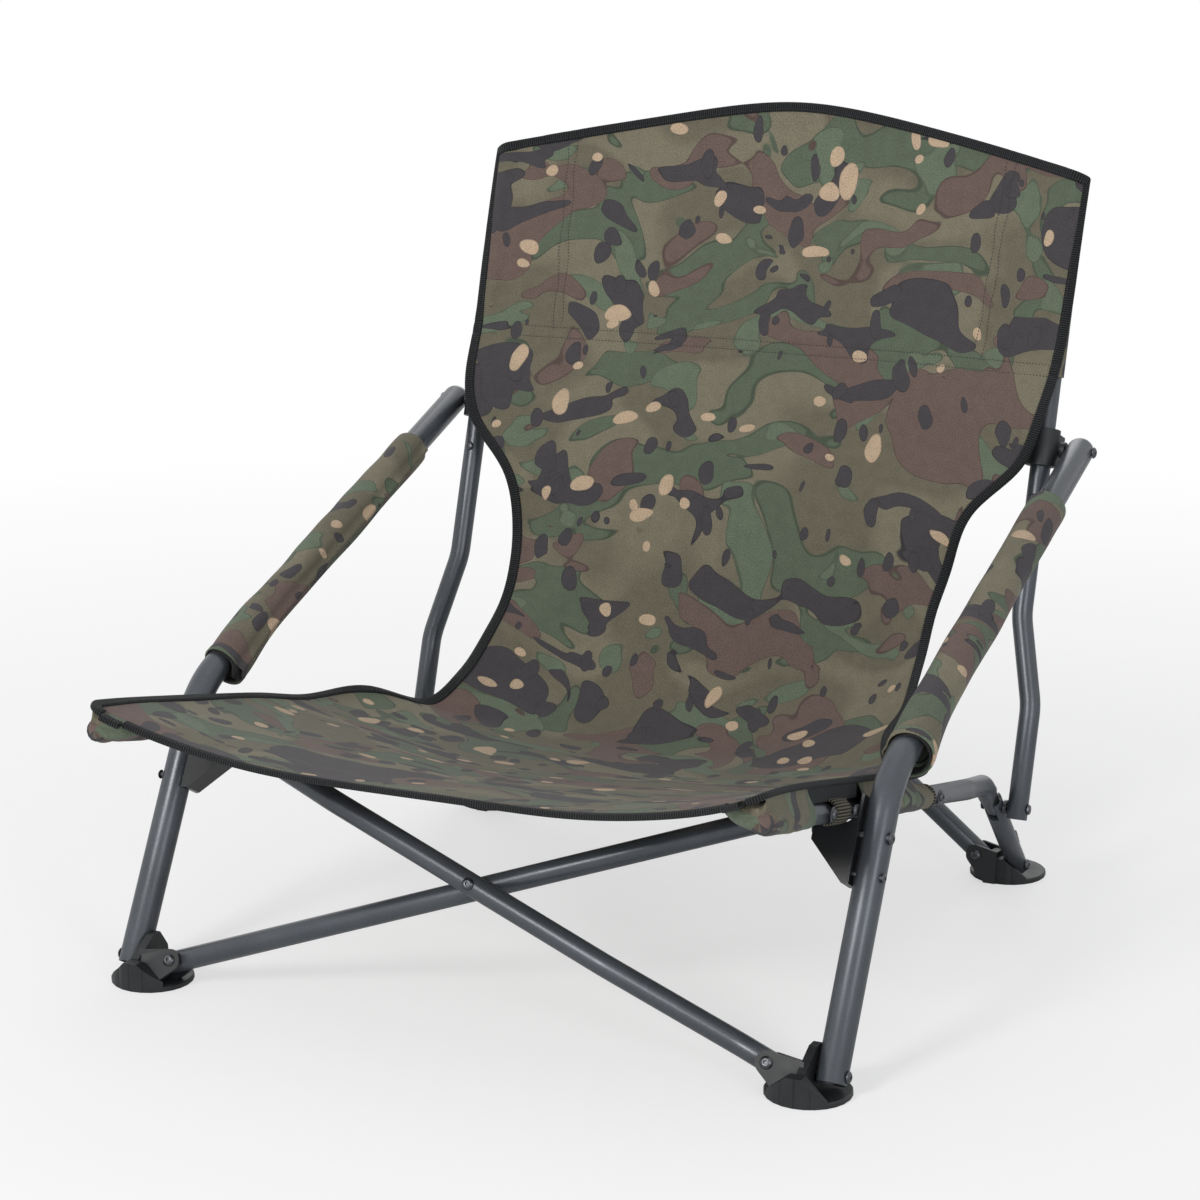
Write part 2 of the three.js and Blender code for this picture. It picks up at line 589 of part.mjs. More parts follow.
const padShares = [[0, 0.86], [0.02, 0.96], [0.1, 1], [0.35, 0.98], [0.6, 1], [0.9, 1], [0.98, 0.96],
  [1, 0.86]];
const padStart = reach(armKnee, armUp,
  arm.bendRadius * Math.tan((radians(90 - arm.lean) - radians(arm.rise)) / 2) + pad.from);
const padBore = (arm.radius + gap) / Math.cos(Math.PI / tubeSides);
const padProfile = [[padBore, 0], ...padShares.map(([z, r]) => [pad.radius * r, pad.length * z]),
  [padBore, pad.length],
  [padBore, 0]].map(([r, z]) => new THREE.Vector2(r, z));
const padShape = new THREE.LatheGeometry(padProfile, tubeSides);
padShape.rotateX(radians(90));
padShape.applyMatrix4(frameAt(padStart, armUp, sideways));
const padBody = solid(padShape);

// Sling: a sheet through rows that run from edge to edge. A row of the back holds the edge's place along
// the upright
// and ahead of it, its half width beside the upright's, the middle's place along and ahead, and how
// steeply the row
// falls to the middle.

function clothSheet(rows, columns) {
  const front = rows.map((row) => {
    const points = [];
    for (let i = 0; i <= columns; i += 1) {
      const share = 2 * i / columns - 1;
      const point = between(row.middle, row.edge, Math.abs(share) ** row.power);
      point.x = share * row.edge.x;
      points.push(point);
    }
    return points;
  });
  const normal = (r, c) => {
    const acrossRow = front[r][Math.min(c + 1, columns)].clone().sub(front[r][Math.max(c - 1, 0)]);
    const alongRow = front[Math.min(r + 1, front.length - 1)][c].clone().sub(front[Math.max(r - 1, 0)][c]);
    return acrossRow.cross(alongRow).normalize();
  };
  const position = [];
  [1, -1].forEach((side) => front.forEach((points, r) => points.forEach((point, c) => {
    const skin = reach(point, normal(r, c), side * cloth.thick / 2);
    position.push(skin.x, skin.y, skin.z);
  })));
  const at = (side, r, c) => (side * front.length + r) * (columns + 1) + c;
  const index = [];
  const quad = (a, b, c, d) => index.push(a, b, c, a, c, d);
  const lastRow = front.length - 1;
  for (let r = 0; r < lastRow; r += 1) {
    for (let c = 0; c < columns; c += 1) {
      quad(at(0, r, c), at(0, r, c + 1), at(0, r + 1, c + 1), at(0, r + 1, c));
      quad(at(1, r, c), at(1, r + 1, c), at(1, r + 1, c + 1), at(1, r, c + 1));
    }
    quad(at(0, r, 0), at(0, r + 1, 0), at(1, r + 1, 0), at(1, r, 0));
    quad(at(0, r, columns), at(1, r, columns), at(1, r + 1, columns), at(0, r + 1, columns));
  }
  for (let c = 0; c < columns; c += 1) {
    quad(at(0, 0, c), at(1, 0, c), at(1, 0, c + 1), at(0, 0, c + 1));
    quad(at(0, lastRow, c), at(0, lastRow, c + 1), at(1, lastRow, c + 1), at(1, lastRow, c));
  }
  const geometry = new THREE.BufferGeometry();
  geometry.setAttribute('position', new THREE.Float32BufferAttribute(position, 3));
  geometry.setIndex(index);
  return solid(geometry);
}

// Rows between the given ones, on smooth curves through them
function finerRows(rows, steps) {
  const curve = (key) => new THREE.CatmullRomCurve3(rows.map((row) => row[key]), false, 'centripetal');
  const [edges, middles] = [curve('edge'), curve('middle')];
  const powers = rows.map((row) => row.power);
  const count = (rows.length - 1) * steps;
  return Array.from({ length: count + 1 }, (_, i) => {
    const share = i / count;
    const place = Math.min(Math.floor(share * (rows.length - 1)), rows.length - 2);
    const power = THREE.MathUtils.lerp(powers[place], powers[place + 1], share * (rows.length - 1) - place);
    return { edge: edges.getPoint(share), middle: middles.getPoint(share), power };
  });
}

// Seat rows: along the rail as a share of its length to the knee, the edge's place beside the rail's
// axis as a share
// of the tube's radius, rise of the edge and fall of the middle over the axis as shares of the sleeve's
// height
const seatShares = [
  [0.01, 0.43, 0.7, -0.72, 2.2], [0.1, 0.21, 0.84, -0.74, 2.2], [0.3, 0.045, 1, -0.76, 2.2],
  [0.55, 0.016, 1.04, -0.84, 2.2], [0.78, -0.148, 1.06, -0.92, 2.2],
];
const creaseShares = [[0.062, 0.735, 0.941, 0.009, 0.72, 1.9], [0.069, 0.669, 0.905, 0.021, 0.468, 1.9]];
const backRowShares = [
  [0.125, 0.487, 0.849, 0.101, 0.088, 1.9], [0.195, 0.405, 0.793, 0.2, -0.048, 1.8],
  [0.282, 0.3, 0.766, 0.312, -0.077, 1.8], [0.368, 0.234, 0.775, 0.42, -0.057, 1.8],
  [0.452, 0.3, 0.828, 0.5, -0.08, 1.8], [0.528, 0.293, 0.965, 0.571, -0.113, 1.8],
  [0.6, 0.285, 1.013, 0.64, -0.12, 1.8],
];
const cornerShares = [[0.69, 0.72, -0.145], [0.84, 0.85, -0.186], [0.985, 0.999, -0.231],
  [1.006, 1.108, -0.224]];

const seatRow = ([along, beside, rise, fall, power]) => {
  const point = reach(railFront, railRise, along * railKnee.distanceTo(railFront));
  const edge = reach(point, upwards, rise * cloth.apex);
  edge.x = rail.x + beside * strut.radius;
  return { edge, middle: reach(vector(0, point.y, point.z), upwards, fall * cloth.apex), power };
};
const backPlace = (x, along, ahead) => (
  reach(vector(x, pivot.y, pivot.z), uprightUp, along * upright.span, uprightBack, -ahead * cloth.reach)
);
const backRow = ([along, ahead, wide, middleAlong, middleAhead, power]) => (
  { edge: backPlace(wide * upright.highX, along, ahead), middle: backPlace(0, middleAlong, middleAhead),
    power }
);
const cornerRow = ([along, middleAlong, middleAhead], i, all) => {
  const edge = reach(vector(cloth.cornerX, pivot.y, pivot.z), uprightUp, along * upright.span, uprightBack,
    -cloth.cornerAhead);
  return { edge, middle: backPlace(0, middleAlong, middleAhead), power: i === all.length - 1 ? 1.35 : 1.8 };
};

const seatRows = [...seatShares.map(seatRow), ...creaseShares.map(backRow)];
const backRows = [backRow(creaseShares[1]), ...backRowShares.map(backRow), ...cornerShares.map(cornerRow)];
const seam = backRows[0];
const seamStep = towards(seatRows[seatRows.length - 2].middle, seam.middle);
const backSeam = { edge: reach(seam.edge, seamStep, cloth.seamGap),
  middle: reach(seam.middle, seamStep, cloth.seamGap),
  power: seam.power };

// Teardrop section of the rail's sleeve, with its point up at the bound edge
function sleeve(start, end, closedFront) {
  const radius = strut.radius + gap + cloth.wall;
  const outline = new THREE.Shape();
  outline.moveTo(-cloth.apexHalf, cloth.apex + cloth.thick);
  outline.absarc(0, 0, radius, Math.PI - 1 / 8, 2 * Math.PI + 1 / 8, false);
  outline.lineTo(cloth.apexHalf, cloth.apex + cloth.thick);
  const bulk = plate(outline, end, sideways, railUp, end.distanceTo(start));
  const boreStart = reach(start, railRise, closedFront ? cloth.wall : -overrun);
  return cut(bulk, bar(boreStart, reach(end, railRise, overrun),
    (strut.radius + gap) / Math.cos(Math.PI / tubeSides)));
}

const flipped = (body) => solid(surfaceOf(body, true));
const pocketFront = reach(railFront, railRise, -gap - rail.plug - gap - cloth.wall);
const railPocket = sleeve(pocketFront, railAt(cloth.pocketTo), true);
const railSleeve = sleeve(railAt(cloth.sleeveFrom), railAt(cloth.sleeveTo), false);
const seatBody = join(clothSheet(finerRows(seatRows, 2), clothColumns), railPocket, railSleeve,
  flipped(railPocket),
  flipped(railSleeve));

// Channels of the back round the uprights, closed over their caps, each with a thin fin to the bound edge
const channelRadius = strut.radius + gap + cloth.wall;
const channelBore = (strut.radius + gap) / Math.cos(Math.PI / tubeSides);
const capTop = upright.span + gap + upright.cap;
const channelFin = plate([[0, cloth.channelAt], [cloth.half, cloth.channelAt],
  [cloth.half, cloth.channelTop],
  [0, cloth.channelTop]].map(([x, along]) => [x === 0 ? upright.highX : x, along]),
reach(vector(0, pivot.y, pivot.z), uprightBack, cloth.finRise), sideways, uprightUp, cloth.thick);
const channelBulk = join(bar(uprightAt(cloth.channelAt), uprightAt(capTop + gap + cloth.wall),
  channelRadius), channelFin);
const channelRoom = bar(uprightAt(cloth.channelAt - overrun), uprightAt(capTop + gap), channelBore);
const backSheet = clothSheet(finerRows([backSeam, ...backRows.slice(1)], 2), clothColumns);
const backBody = cut(join(backSheet, channelBulk, flipped(channelBulk)), channelRoom, flipped(channelRoom));

// The assembly

const chair = new THREE.Group();
const placed = new THREE.Group();
placed.position.set(0, -originDepth, 0);
chair.add(placed);

const finishes = {
  tube: { color: colour.tube, roughness: 0.5, metalness: 0.45 },
  moulded: { color: colour.moulded, roughness: 0.62, metalness: 0 },
  bolt: { color: colour.bolt, roughness: 0.32, metalness: 0.8 },
  cloth: { color: colour.cloth, roughness: 0.92, metalness: 0 },
  pad: { color: colour.pad, roughness: 0.94, metalness: 0 },
};

function add(name, body, finish, mirroredCopy = false) {
  const mesh = new THREE.Mesh(surfaceOf(body, mirroredCopy),
    new THREE.MeshStandardMaterial(finishes[finish]));
  mesh.name = name;
  placed.add(mesh);
}

function addPair(name, body, finish) {
  add(`${name}_right`, body, finish);
  add(`${name}_left`, body, finish, true);
}

addPair('front_foot', frontFootBody, 'moulded');
addPair('rear_foot', rearFootBody, 'moulded');
addPair('arm_leg', armBody, 'tube');
addPair('arm_sleeve', padBody, 'pad');
addPair('leg_cradle', cradleBody, 'tube');
addPair('rail_hub', hubBody, 'moulded');
addPair('seat_rail', railBody, 'tube');
addPair('rail_plug', railPlug, 'moulded');
addPair('rear_leg', rearLegBody, 'tube');
addPair('upright', uprightBody, 'tube');
addPair('upright_cap', uprightCap, 'moulded');
addPair('collar', collarBody, 'moulded');

add('front_cross_straight', cut(straightFrontBar, frontRivetHole), 'tube');
add('front_cross_bowed', cut(bowedFrontBar, frontRivetHole), 'tube');
add('rear_cross_straight', cut(straightRearBar, hole(rearNear, rearSplit, pin.radius)), 'tube');
add('rear_cross_bowed', cut(bowedRearBar, hole(rearSplitBowed, rearFar, pin.radius)), 'tube');

const finInner = (legPin, radius) => reach(legPin, sideways, -radius - gap - foot.blind + 2 * gap);
const clevisEnds = (point, back) => [-1, 1].map((side) => reach(point, back, side * (clevisHalf +
  foot.ear)));
addPair('leg_foot_pin', rivet(finInner(armFoot, arm.radius), reach(armFoot, sideways, arm.radius),
  { start: false }),
  'bolt');
addPair('rear_foot_pin', rivet(finInner(rearLegPin, strut.radius),
  reach(rearLegPin, sideways, strut.radius),
  { start: false }), 'bolt');
addPair('front_clevis_pin', rivet(...clevisEnds(frontPin, planeBack)), 'bolt');
addPair('rear_clevis_pin', rivet(...clevisEnds(rearPin, rearBack)), 'bolt');
addPair('hub_cross_pin', rivet(hubPinFront, reach(hubPin, planeBack, clevisHalf), { end: false }), 'bolt');
addPair('hub_rail_pin', rivet(hubSideInner, hubSideOuter, { endHigh: pin.flat }), 'bolt');
addPair('cradle_pin', rivet(cradlePinInner, cradlePinOuter), 'bolt');
addPair('cradle_rivet', rivet(cradleRivetInner, cradleRivetOuter, { kind: bolt, start: false }), 'bolt');
addPair('arm_top_bolt', rivet(reach(armTop, sideways, -arm.radius), reach(armTop, sideways, arm.radius),
  { start: false }), 'bolt');
addPair('upright_stop_bolt', rivet(reach(stopAt, uprightBack, -strut.radius),
  reach(stopAt, uprightBack, strut.radius),
  { kind: bolt }), 'bolt');

// The rear pivot pin runs through rear leg, tongue and upright, with a washer between rear leg and upright
const pivotInner = reach(railPivot, sideways, -strut.radius);
const pivotOuter = reach(vector(upright.lowX, pivot.y, pivot.z), sideways, strut.radius);
const washerFrom = reach(railPivot, sideways, strut.radius + gap);
const washerTo = reach(vector(upright.lowX, pivot.y, pivot.z), sideways, -strut.radius - gap);
addPair('rear_pivot_pin', join(rivet(pivotInner, pivotOuter), bar(washerFrom, washerTo, pivot.washer)),
  'bolt');

const rearTopFront = reach(rearTop, rearBack, -strut.radius);
const rearTopRear = reach(rearTop, rearBack, strut.radius);
addPair('rear_cross_rivet', rivet(rearTopFront, rearTopRear, { end: false }), 'bolt');
add('front_crossing_rivet', rivet(frontNear, frontFar), 'bolt');
add('rear_crossing_screw', rivet(rearNear, rearSplit, { end: false }), 'bolt');
add('rear_crossing_post', rivet(rearFar, rearSplitBowed, { end: false }), 'bolt');

add('seat_sling', seatBody, 'cloth');
add('back_sling', backBody, 'cloth');

export default chair;
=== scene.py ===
"""Folding camouflage chair: tubes, mouldings, fasteners, sling, binding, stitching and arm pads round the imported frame.

Sizes in the tables are in millimetres in the drawing's own frame, whose +Y 0 is the front feet's line. place() brings
them to the row frame in metres.
"""

import math

import bmesh
import bpy
import numpy as np
from bpy.props import FloatProperty, FloatVectorProperty, IntProperty, PointerProperty
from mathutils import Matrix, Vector


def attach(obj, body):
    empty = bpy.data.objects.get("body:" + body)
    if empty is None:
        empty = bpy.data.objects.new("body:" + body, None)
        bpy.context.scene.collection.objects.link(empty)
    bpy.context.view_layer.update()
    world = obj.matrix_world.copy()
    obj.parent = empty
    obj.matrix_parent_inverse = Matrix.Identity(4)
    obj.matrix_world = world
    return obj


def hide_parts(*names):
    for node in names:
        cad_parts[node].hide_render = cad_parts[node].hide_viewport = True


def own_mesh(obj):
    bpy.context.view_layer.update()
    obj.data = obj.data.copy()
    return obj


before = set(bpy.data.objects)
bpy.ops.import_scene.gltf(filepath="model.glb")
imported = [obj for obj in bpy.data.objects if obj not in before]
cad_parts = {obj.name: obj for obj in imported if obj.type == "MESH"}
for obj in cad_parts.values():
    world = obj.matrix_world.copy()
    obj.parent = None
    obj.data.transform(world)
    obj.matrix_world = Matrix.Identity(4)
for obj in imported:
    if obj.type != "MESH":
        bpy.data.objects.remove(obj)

bl_info = {
    "name": "Folding camouflage chair",
    "version": (1, 0, 0),
    "blender": (4, 5, 0),
    "location": "View3D > Sidebar > Chair",
    "description": "Builds the visible pieces of a low folding chair round its packed frame",
    "category": "Object",
}

ORIGIN_DEPTH = 308.5
SIDES = ("right", "left")
# Degrees up to which an edge is shaded smooth, a tube end's softened edge and the depth of its open bore
SHARP, EDGE_SOFT, BORE_DEEP = 35, 0.45, 14


def linear(red, green, blue):
    """A colour written in 0-255 display values, as linear shader values."""
    share = np.array([red, green, blue]) / 255
    low, high = share / 12.92, ((share + 0.055) / 1.055) ** 2.4
    return tuple(float(x) for x in np.where(share <= 0.04045, low, high))


# Sizes and colours that a user may change


def length_property(name, description, default):
    """A size in metres."""
    return FloatProperty(name=name, description=description, default=default, unit="LENGTH")


def colour_property(name, description, *display):
    """A colour whose default is written in 0-255 display values."""
    return FloatVectorProperty(name=name, description=description, subtype="COLOR", default=linear(*display))


class ChairSizes(bpy.types.PropertyGroup):
    """Sizes of the visible pieces."""

    cloth: length_property("Cloth thickness", "Thickness of the sling's cloth", 0.0012)
    binding_wide: length_property("Binding width", "Width of the edge tape on each face", 0.0095)
    binding_thick: length_property("Binding thickness", "Thickness over the folded edge tape", 0.0056)
    stitch: length_property("Stitch length", "Length of one stitch", 0.0023)
    stitch_gap: length_property("Stitch gap", "Gap between two stitches", 0.0009)
    weave: length_property("Weave pitch", "Distance between two threads of the cloth", 0.0007)
    rib: length_property("Rib pitch", "Distance between two ribs of the edge tape", 0.0021)
    pattern: FloatProperty(name="Pattern size", description="Size of the printed pattern against life", default=1.0)
    tube_sides: IntProperty(name="Tube sides", description="Faces round a tube", default=40, min=12)


class ChairColours(bpy.types.PropertyGroup):
    """Colours of the finishes, as linear values."""

    tube: colour_property("Tubes", "Satin paint on the tubes", 76, 80, 86)
    moulded: colour_property("Mouldings", "Black moulded plastic", 26, 28, 30)
    fastener: colour_property("Fasteners", "Darkened steel", 84, 86, 90)
    khaki: colour_property("Khaki", "Ground colour of the print", 108, 103, 87)
    green: colour_property("Green", "Green of the print", 92, 103, 86)
    brown: colour_property("Brown", "Red brown of the print", 108, 91, 85)
    charcoal: colour_property("Charcoal", "Darkest colour of the print", 71, 68, 71)
    cream: colour_property("Cream", "Pale spots of the print", 192, 168, 142)
    binding: colour_property("Binding", "Black edge tape", 34, 36, 38)
    thread: colour_property("Thread", "Dark sewing thread", 28, 28, 26)
    floor: colour_property("Floor", "Pale floor", 250, 250, 250)


# Places


def place(points):
    """Drawing millimetres to row-frame metres: the depth is counted from the middle of the chair."""
    moved = np.array(points, float)
    moved[..., 1] -= ORIGIN_DEPTH
    return moved / 1000


def mirrored(points):
    """The same points on the other side: x changes sign."""
    return np.asarray(points, float) * np.array([-1.0, 1.0, 1.0])


def on_side(points, side):
    """Points drawn on the right, on a side."""
    return mirrored(points) if side == "left" else np.asarray(points)


def unit(vectors):
    """Vectors divided by their lengths."""
    vectors = np.asarray(vectors, float)
    return vectors / np.maximum(np.linalg.norm(vectors, axis=-1, keepdims=True), 1e-12)


def smooth(share):
    """A share held between 0 and 1 and eased at both ends: 3 s ** 2 - 2 s ** 3."""
    share = np.clip(share, 0, 1)
    return share * share * (3 - 2 * share)


def packed(count, places, width, extra):
    """Shares from 0 to 1 that lie closer round some places: the inverse of the running sum of an even ground and
    bumps."""
    fine = np.linspace(0, 1, 4000)
    weight = 1 + extra * np.exp(-((fine[:, None] - np.asarray(places)) / width) ** 2).sum(1)
    total = np.concatenate([[0], np.cumsum((weight[1:] + weight[:-1]) / 2)])
    return np.interp(np.linspace(0, total[-1], count), total, fine)


def even_turns(count):
    """Even angles round a circle."""
    return np.arange(count) * 2 * math.pi / count


def longer(corners, at_start, at_end):
    """A line of corners with both its ends drawn out."""
    corners = np.array(corners, float)
    corners[0] -= unit(corners[1] - corners[0]) * at_start
    corners[-1] += unit(corners[-1] - corners[-2]) * at_end
    return corners


# Meshes from arrays


def grid_faces(rows, columns, wrap=False):
    """Quads of a grid of points: corner (r, c) has index r * columns + c, and wrap joins the last column to the
    first."""
    r, c = np.meshgrid(np.arange(rows - 1), np.arange(columns if wrap else columns - 1), indexing="ij")
    d = (c + 1) % columns
    quads = [r * columns + c, r * columns + d, (r + 1) * columns + d, (r + 1) * columns + c]
    return np.stack(quads, axis=-1).reshape(-1, 4)


class Patches:
    """Grids of points gathered into one mesh, with a UV pair for each point."""

    def __init__(self):
        self.points, self.faces, self.uvs, self.count = [], [], [], 0

    def add(self, points, faces, uvs=None):
        """Points with faces that count from their own first point."""
        points = np.asarray(points, float).reshape(-1, 3)
        self.points.append(points)
        self.faces.append(np.asarray(faces) + self.count)
        self.uvs.append(np.zeros((len(points), 2)) if uvs is None else np.asarray(uvs, float).reshape(-1, 2))
        self.count += len(points)
        return self

    def grid(self, points, wrap=False, uvs=None):
        """Quads between rows of points."""
        points = np.asarray(points, float)
        return self.add(points, grid_faces(points.shape[0], points.shape[1], wrap), uvs)

    def skins(self, front, rear, uv):
        """Two skins of one grid, in drawing millimetres, with the rims between them."""
        front, rear = place(front), place(rear)
        self.grid(front, uvs=uv).grid(rear[:, ::-1], uvs=uv[:, ::-1])
        for line in (np.s_[0], np.s_[-1], np.s_[:, 0], np.s_[:, -1]):
            self.grid(np.stack([front[line], rear[line]]), uvs=np.stack([uv[line], uv[line]]))
        return self

    def piece(self, name, look, body, slot, sharp=SHARP, merge=1e-6, **facts):
        """The mesh as a finished piece of the chair, as finish, object and dress say."""
        return dress(self.object(name, finish(look), sharp, merge), body, slot, **facts)

    def object(self, name, material, sharp=SHARP, merge=0.0):
        """The mesh as an object in the scene: points in row-frame metres, faces turned outwards where points merge."""
        mesh = bpy.data.meshes.new(name)
        faces = [f for block in self.faces for f in block.tolist()]
        mesh.from_pydata(np.concatenate(self.points).tolist(), [], faces)
        corners = np.zeros(len(mesh.loops), np.int32)
        mesh.loops.foreach_get("vertex_index", corners)
        uvs = np.concatenate(self.uvs)[corners].astype(np.float32)
        mesh.uv_layers.new(name="UVMap").data.foreach_set("uv", uvs.ravel())
        if merge:
            work = bmesh.new()
            work.from_mesh(mesh)
            bmesh.ops.remove_doubles(work, verts=work.verts, dist=merge)
            bmesh.ops.recalc_face_normals(work, faces=work.faces)
            work.to_mesh(mesh)
            work.free()
        return mesh_object(name, mesh, material, sharp)


def linked(name, data):
    """A new object in the scene."""
    made = bpy.data.objects.new(name, data)
    bpy.context.scene.collection.objects.link(made)
    return made


def mesh_object(name, mesh, material, sharp):
    """A mesh in the scene, shaded smooth up to an angle in degrees."""
    mesh.polygons.foreach_set("use_smooth", np.ones(len(mesh.polygons), bool))
    mesh.set_sharp_from_angle(angle=math.radians(sharp))
    mesh.materials.clear()
    mesh.materials.append(material)
    mesh.update()
    return linked(name, mesh)


def dress(piece, body, slot, node=None, flat=None, rests_on=None, squash=None):
    """A piece attached to the body it rides, with the CAD node it replaces hidden; slot, flat and rests_on are not
    used.
    With squash, (split, keep), the piece only gets its own mesh."""
    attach(piece, body)
    if node:
        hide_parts(node)
    if squash:
        split, keep = squash
        anchor = tuple(float(x) for x in place((-split, 0, 0)))
        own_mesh(piece)
    return piece


def rounded_line(corners, bend, step=2.0):
    """A line through corners with each inner corner rounded: the arc of radius bend that touches both legs."""
    corners = np.asarray(corners, float)
    parts = [corners[:1]]
    for before, corner, after in zip(corners[:-2], corners[1:-1], corners[2:]):
        into, out = unit(corner - before), unit(after - corner)
        turn = math.acos(float(np.clip(into @ out, -1, 1)))
        inward = unit(out - (out @ into) * into)
        centre = corner - into * bend * math.tan(turn / 2) + inward * bend
        angle = np.linspace(0, turn, max(3, int(bend * turn / step) + 2))[:, None]
        parts.append(centre - inward * bend * np.cos(angle) + into * bend * np.sin(angle))
    parts.append(corners[-1:])
    line = np.concatenate(parts)
    return line[np.concatenate([[True], np.diff(along(line)) > 1e-6])]


def along(line):
    """Distance of each point of a line from its start."""
    return np.concatenate([[0], np.cumsum(np.linalg.norm(np.diff(line, axis=0), axis=1))])


def pairs(a, b):
    """Two arrays, broadcast together, as (a, b) pairs."""
    return np.stack(np.broadcast_arrays(a, b), -1)


def polar(radius, angle):
    """(a, b) pairs at a radius and an angle."""
    return np.stack([radius * np.cos(angle), radius * np.sin(angle)], -1)


def powered(values, power):
    """Values raised to a power with their signs kept."""
    return np.sign(values) * np.abs(values) ** power


def quarter(share, least=0.0):
    """The height of a quarter circle at a share of its width: sqrt(1 - (1 - s) ** 2)."""
    return np.sqrt(np.clip(1 - (1 - np.clip(share, 0, 1)) ** 2, least, 1))


def directions(line):
    """Unit direction of a line at each of its points, as the mean of the two legs that meet there."""
    legs = unit(np.diff(line, axis=0))
    return unit(np.concatenate([legs[:1], legs[:-1] + legs[1:], legs[-1:]]))


def sweep(line, tangents, section, reference):
    """A section carried along a line: point = line + a * side + b * up, with side square to reference and the line.
    section holds (a, b) pairs, as (K, 2) or one set for each point of the line."""
    side = unit(np.cross(tangents, reference))
    up = np.cross(side, tangents)
    section = np.broadcast_to(section, (len(line), *np.shape(section)[-2:]))
    return line[:, None] + section[..., :1] * side[:, None] + section[..., 1:] * up[:, None]


def circle(radius, sides):
    """Points of a circle, as (a, b) pairs."""
    return polar(radius, even_turns(sides))


def end_rings(kind, radius, wall):
    """Rings that close a tube's end, from the centre outwards: offsets along the outward axis, and radii.
    open has the bore's mouth, dome is a half sphere."""
    if kind == "dome":
        turn = np.linspace(0, 80, 9)
        return [(radius * math.cos(math.radians(t)), radius * math.sin(math.radians(t))) for t in turn]
    bore = radius - wall
    return [(-BORE_DEEP, 0.0), (-BORE_DEEP, bore), (-EDGE_SOFT, bore), (0, bore + EDGE_SOFT / 2),
            (0, radius - EDGE_SOFT), (-EDGE_SOFT / 3, radius - EDGE_SOFT / 3), (-EDGE_SOFT, radius)]


def tube_patch(line, radius, wall, reference, sides, ends):
    """A closed round tube along a line, with its two ends made as end_rings says. UV is metres along and round it."""
    tangents = directions(line)
    start, end = end_rings(ends[0], radius, wall), end_rings(ends[1], radius, wall)[::-1]
    first = [line[0] - tangents[0] * offset for offset, _ in start]
    last = [line[-1] + tangents[-1] * offset for offset, _ in end]
    points = np.concatenate([np.array(first), line[1:-1], np.array(last)])
    headings = np.concatenate([np.repeat(tangents[:1], len(first), 0), tangents[1:-1],
                               np.repeat(tangents[-1:], len(last), 0)])
    radii = np.concatenate([[r for _, r in start], np.full(len(line) - 2, radius), [r for _, r in end]])
    section = circle(1.0, sides)[None] * np.maximum(radii, 1e-3)[:, None, None]
    rings = sweep(points, headings, section, reference)
    girth = np.arange(sides) * 2 * math.pi * radius / sides / 1000
    uvs = pairs(along(points)[:, None] / 1000, girth)
    return rings, uvs


def lathe(profile, origin, axis, sides, flats=None):
    """A profile of (radius, height) pairs turned round an axis. flats gives, for each pair, 1 where the ring is a
    hexagon and 0 where it is round."""
    profile = np.asarray(profile, float)
    axis = unit(axis)
    hint = np.array([0.0, 1.0, 0.0]) if abs(axis[1]) < 0.8 else np.array([1.0, 0.0, 0.0])
    side = unit(np.cross(axis, hint))
    up = np.cross(axis, side)
    angle = even_turns(sides)
    hexagon = math.cos(math.pi / 6) / np.cos((angle % (math.pi / 3)) - math.pi / 6)
    share = np.zeros(len(profile)) if flats is None else np.asarray(flats, float)
    radius = profile[:, :1] * (1 + share[:, None] * (hexagon[None] - 1))
    ring = np.cos(angle)[:, None] * side + np.sin(angle)[:, None] * up
    return np.asarray(origin, float) + radius[..., None] * ring[None] + profile[:, 1][:, None, None] * axis


# Materials


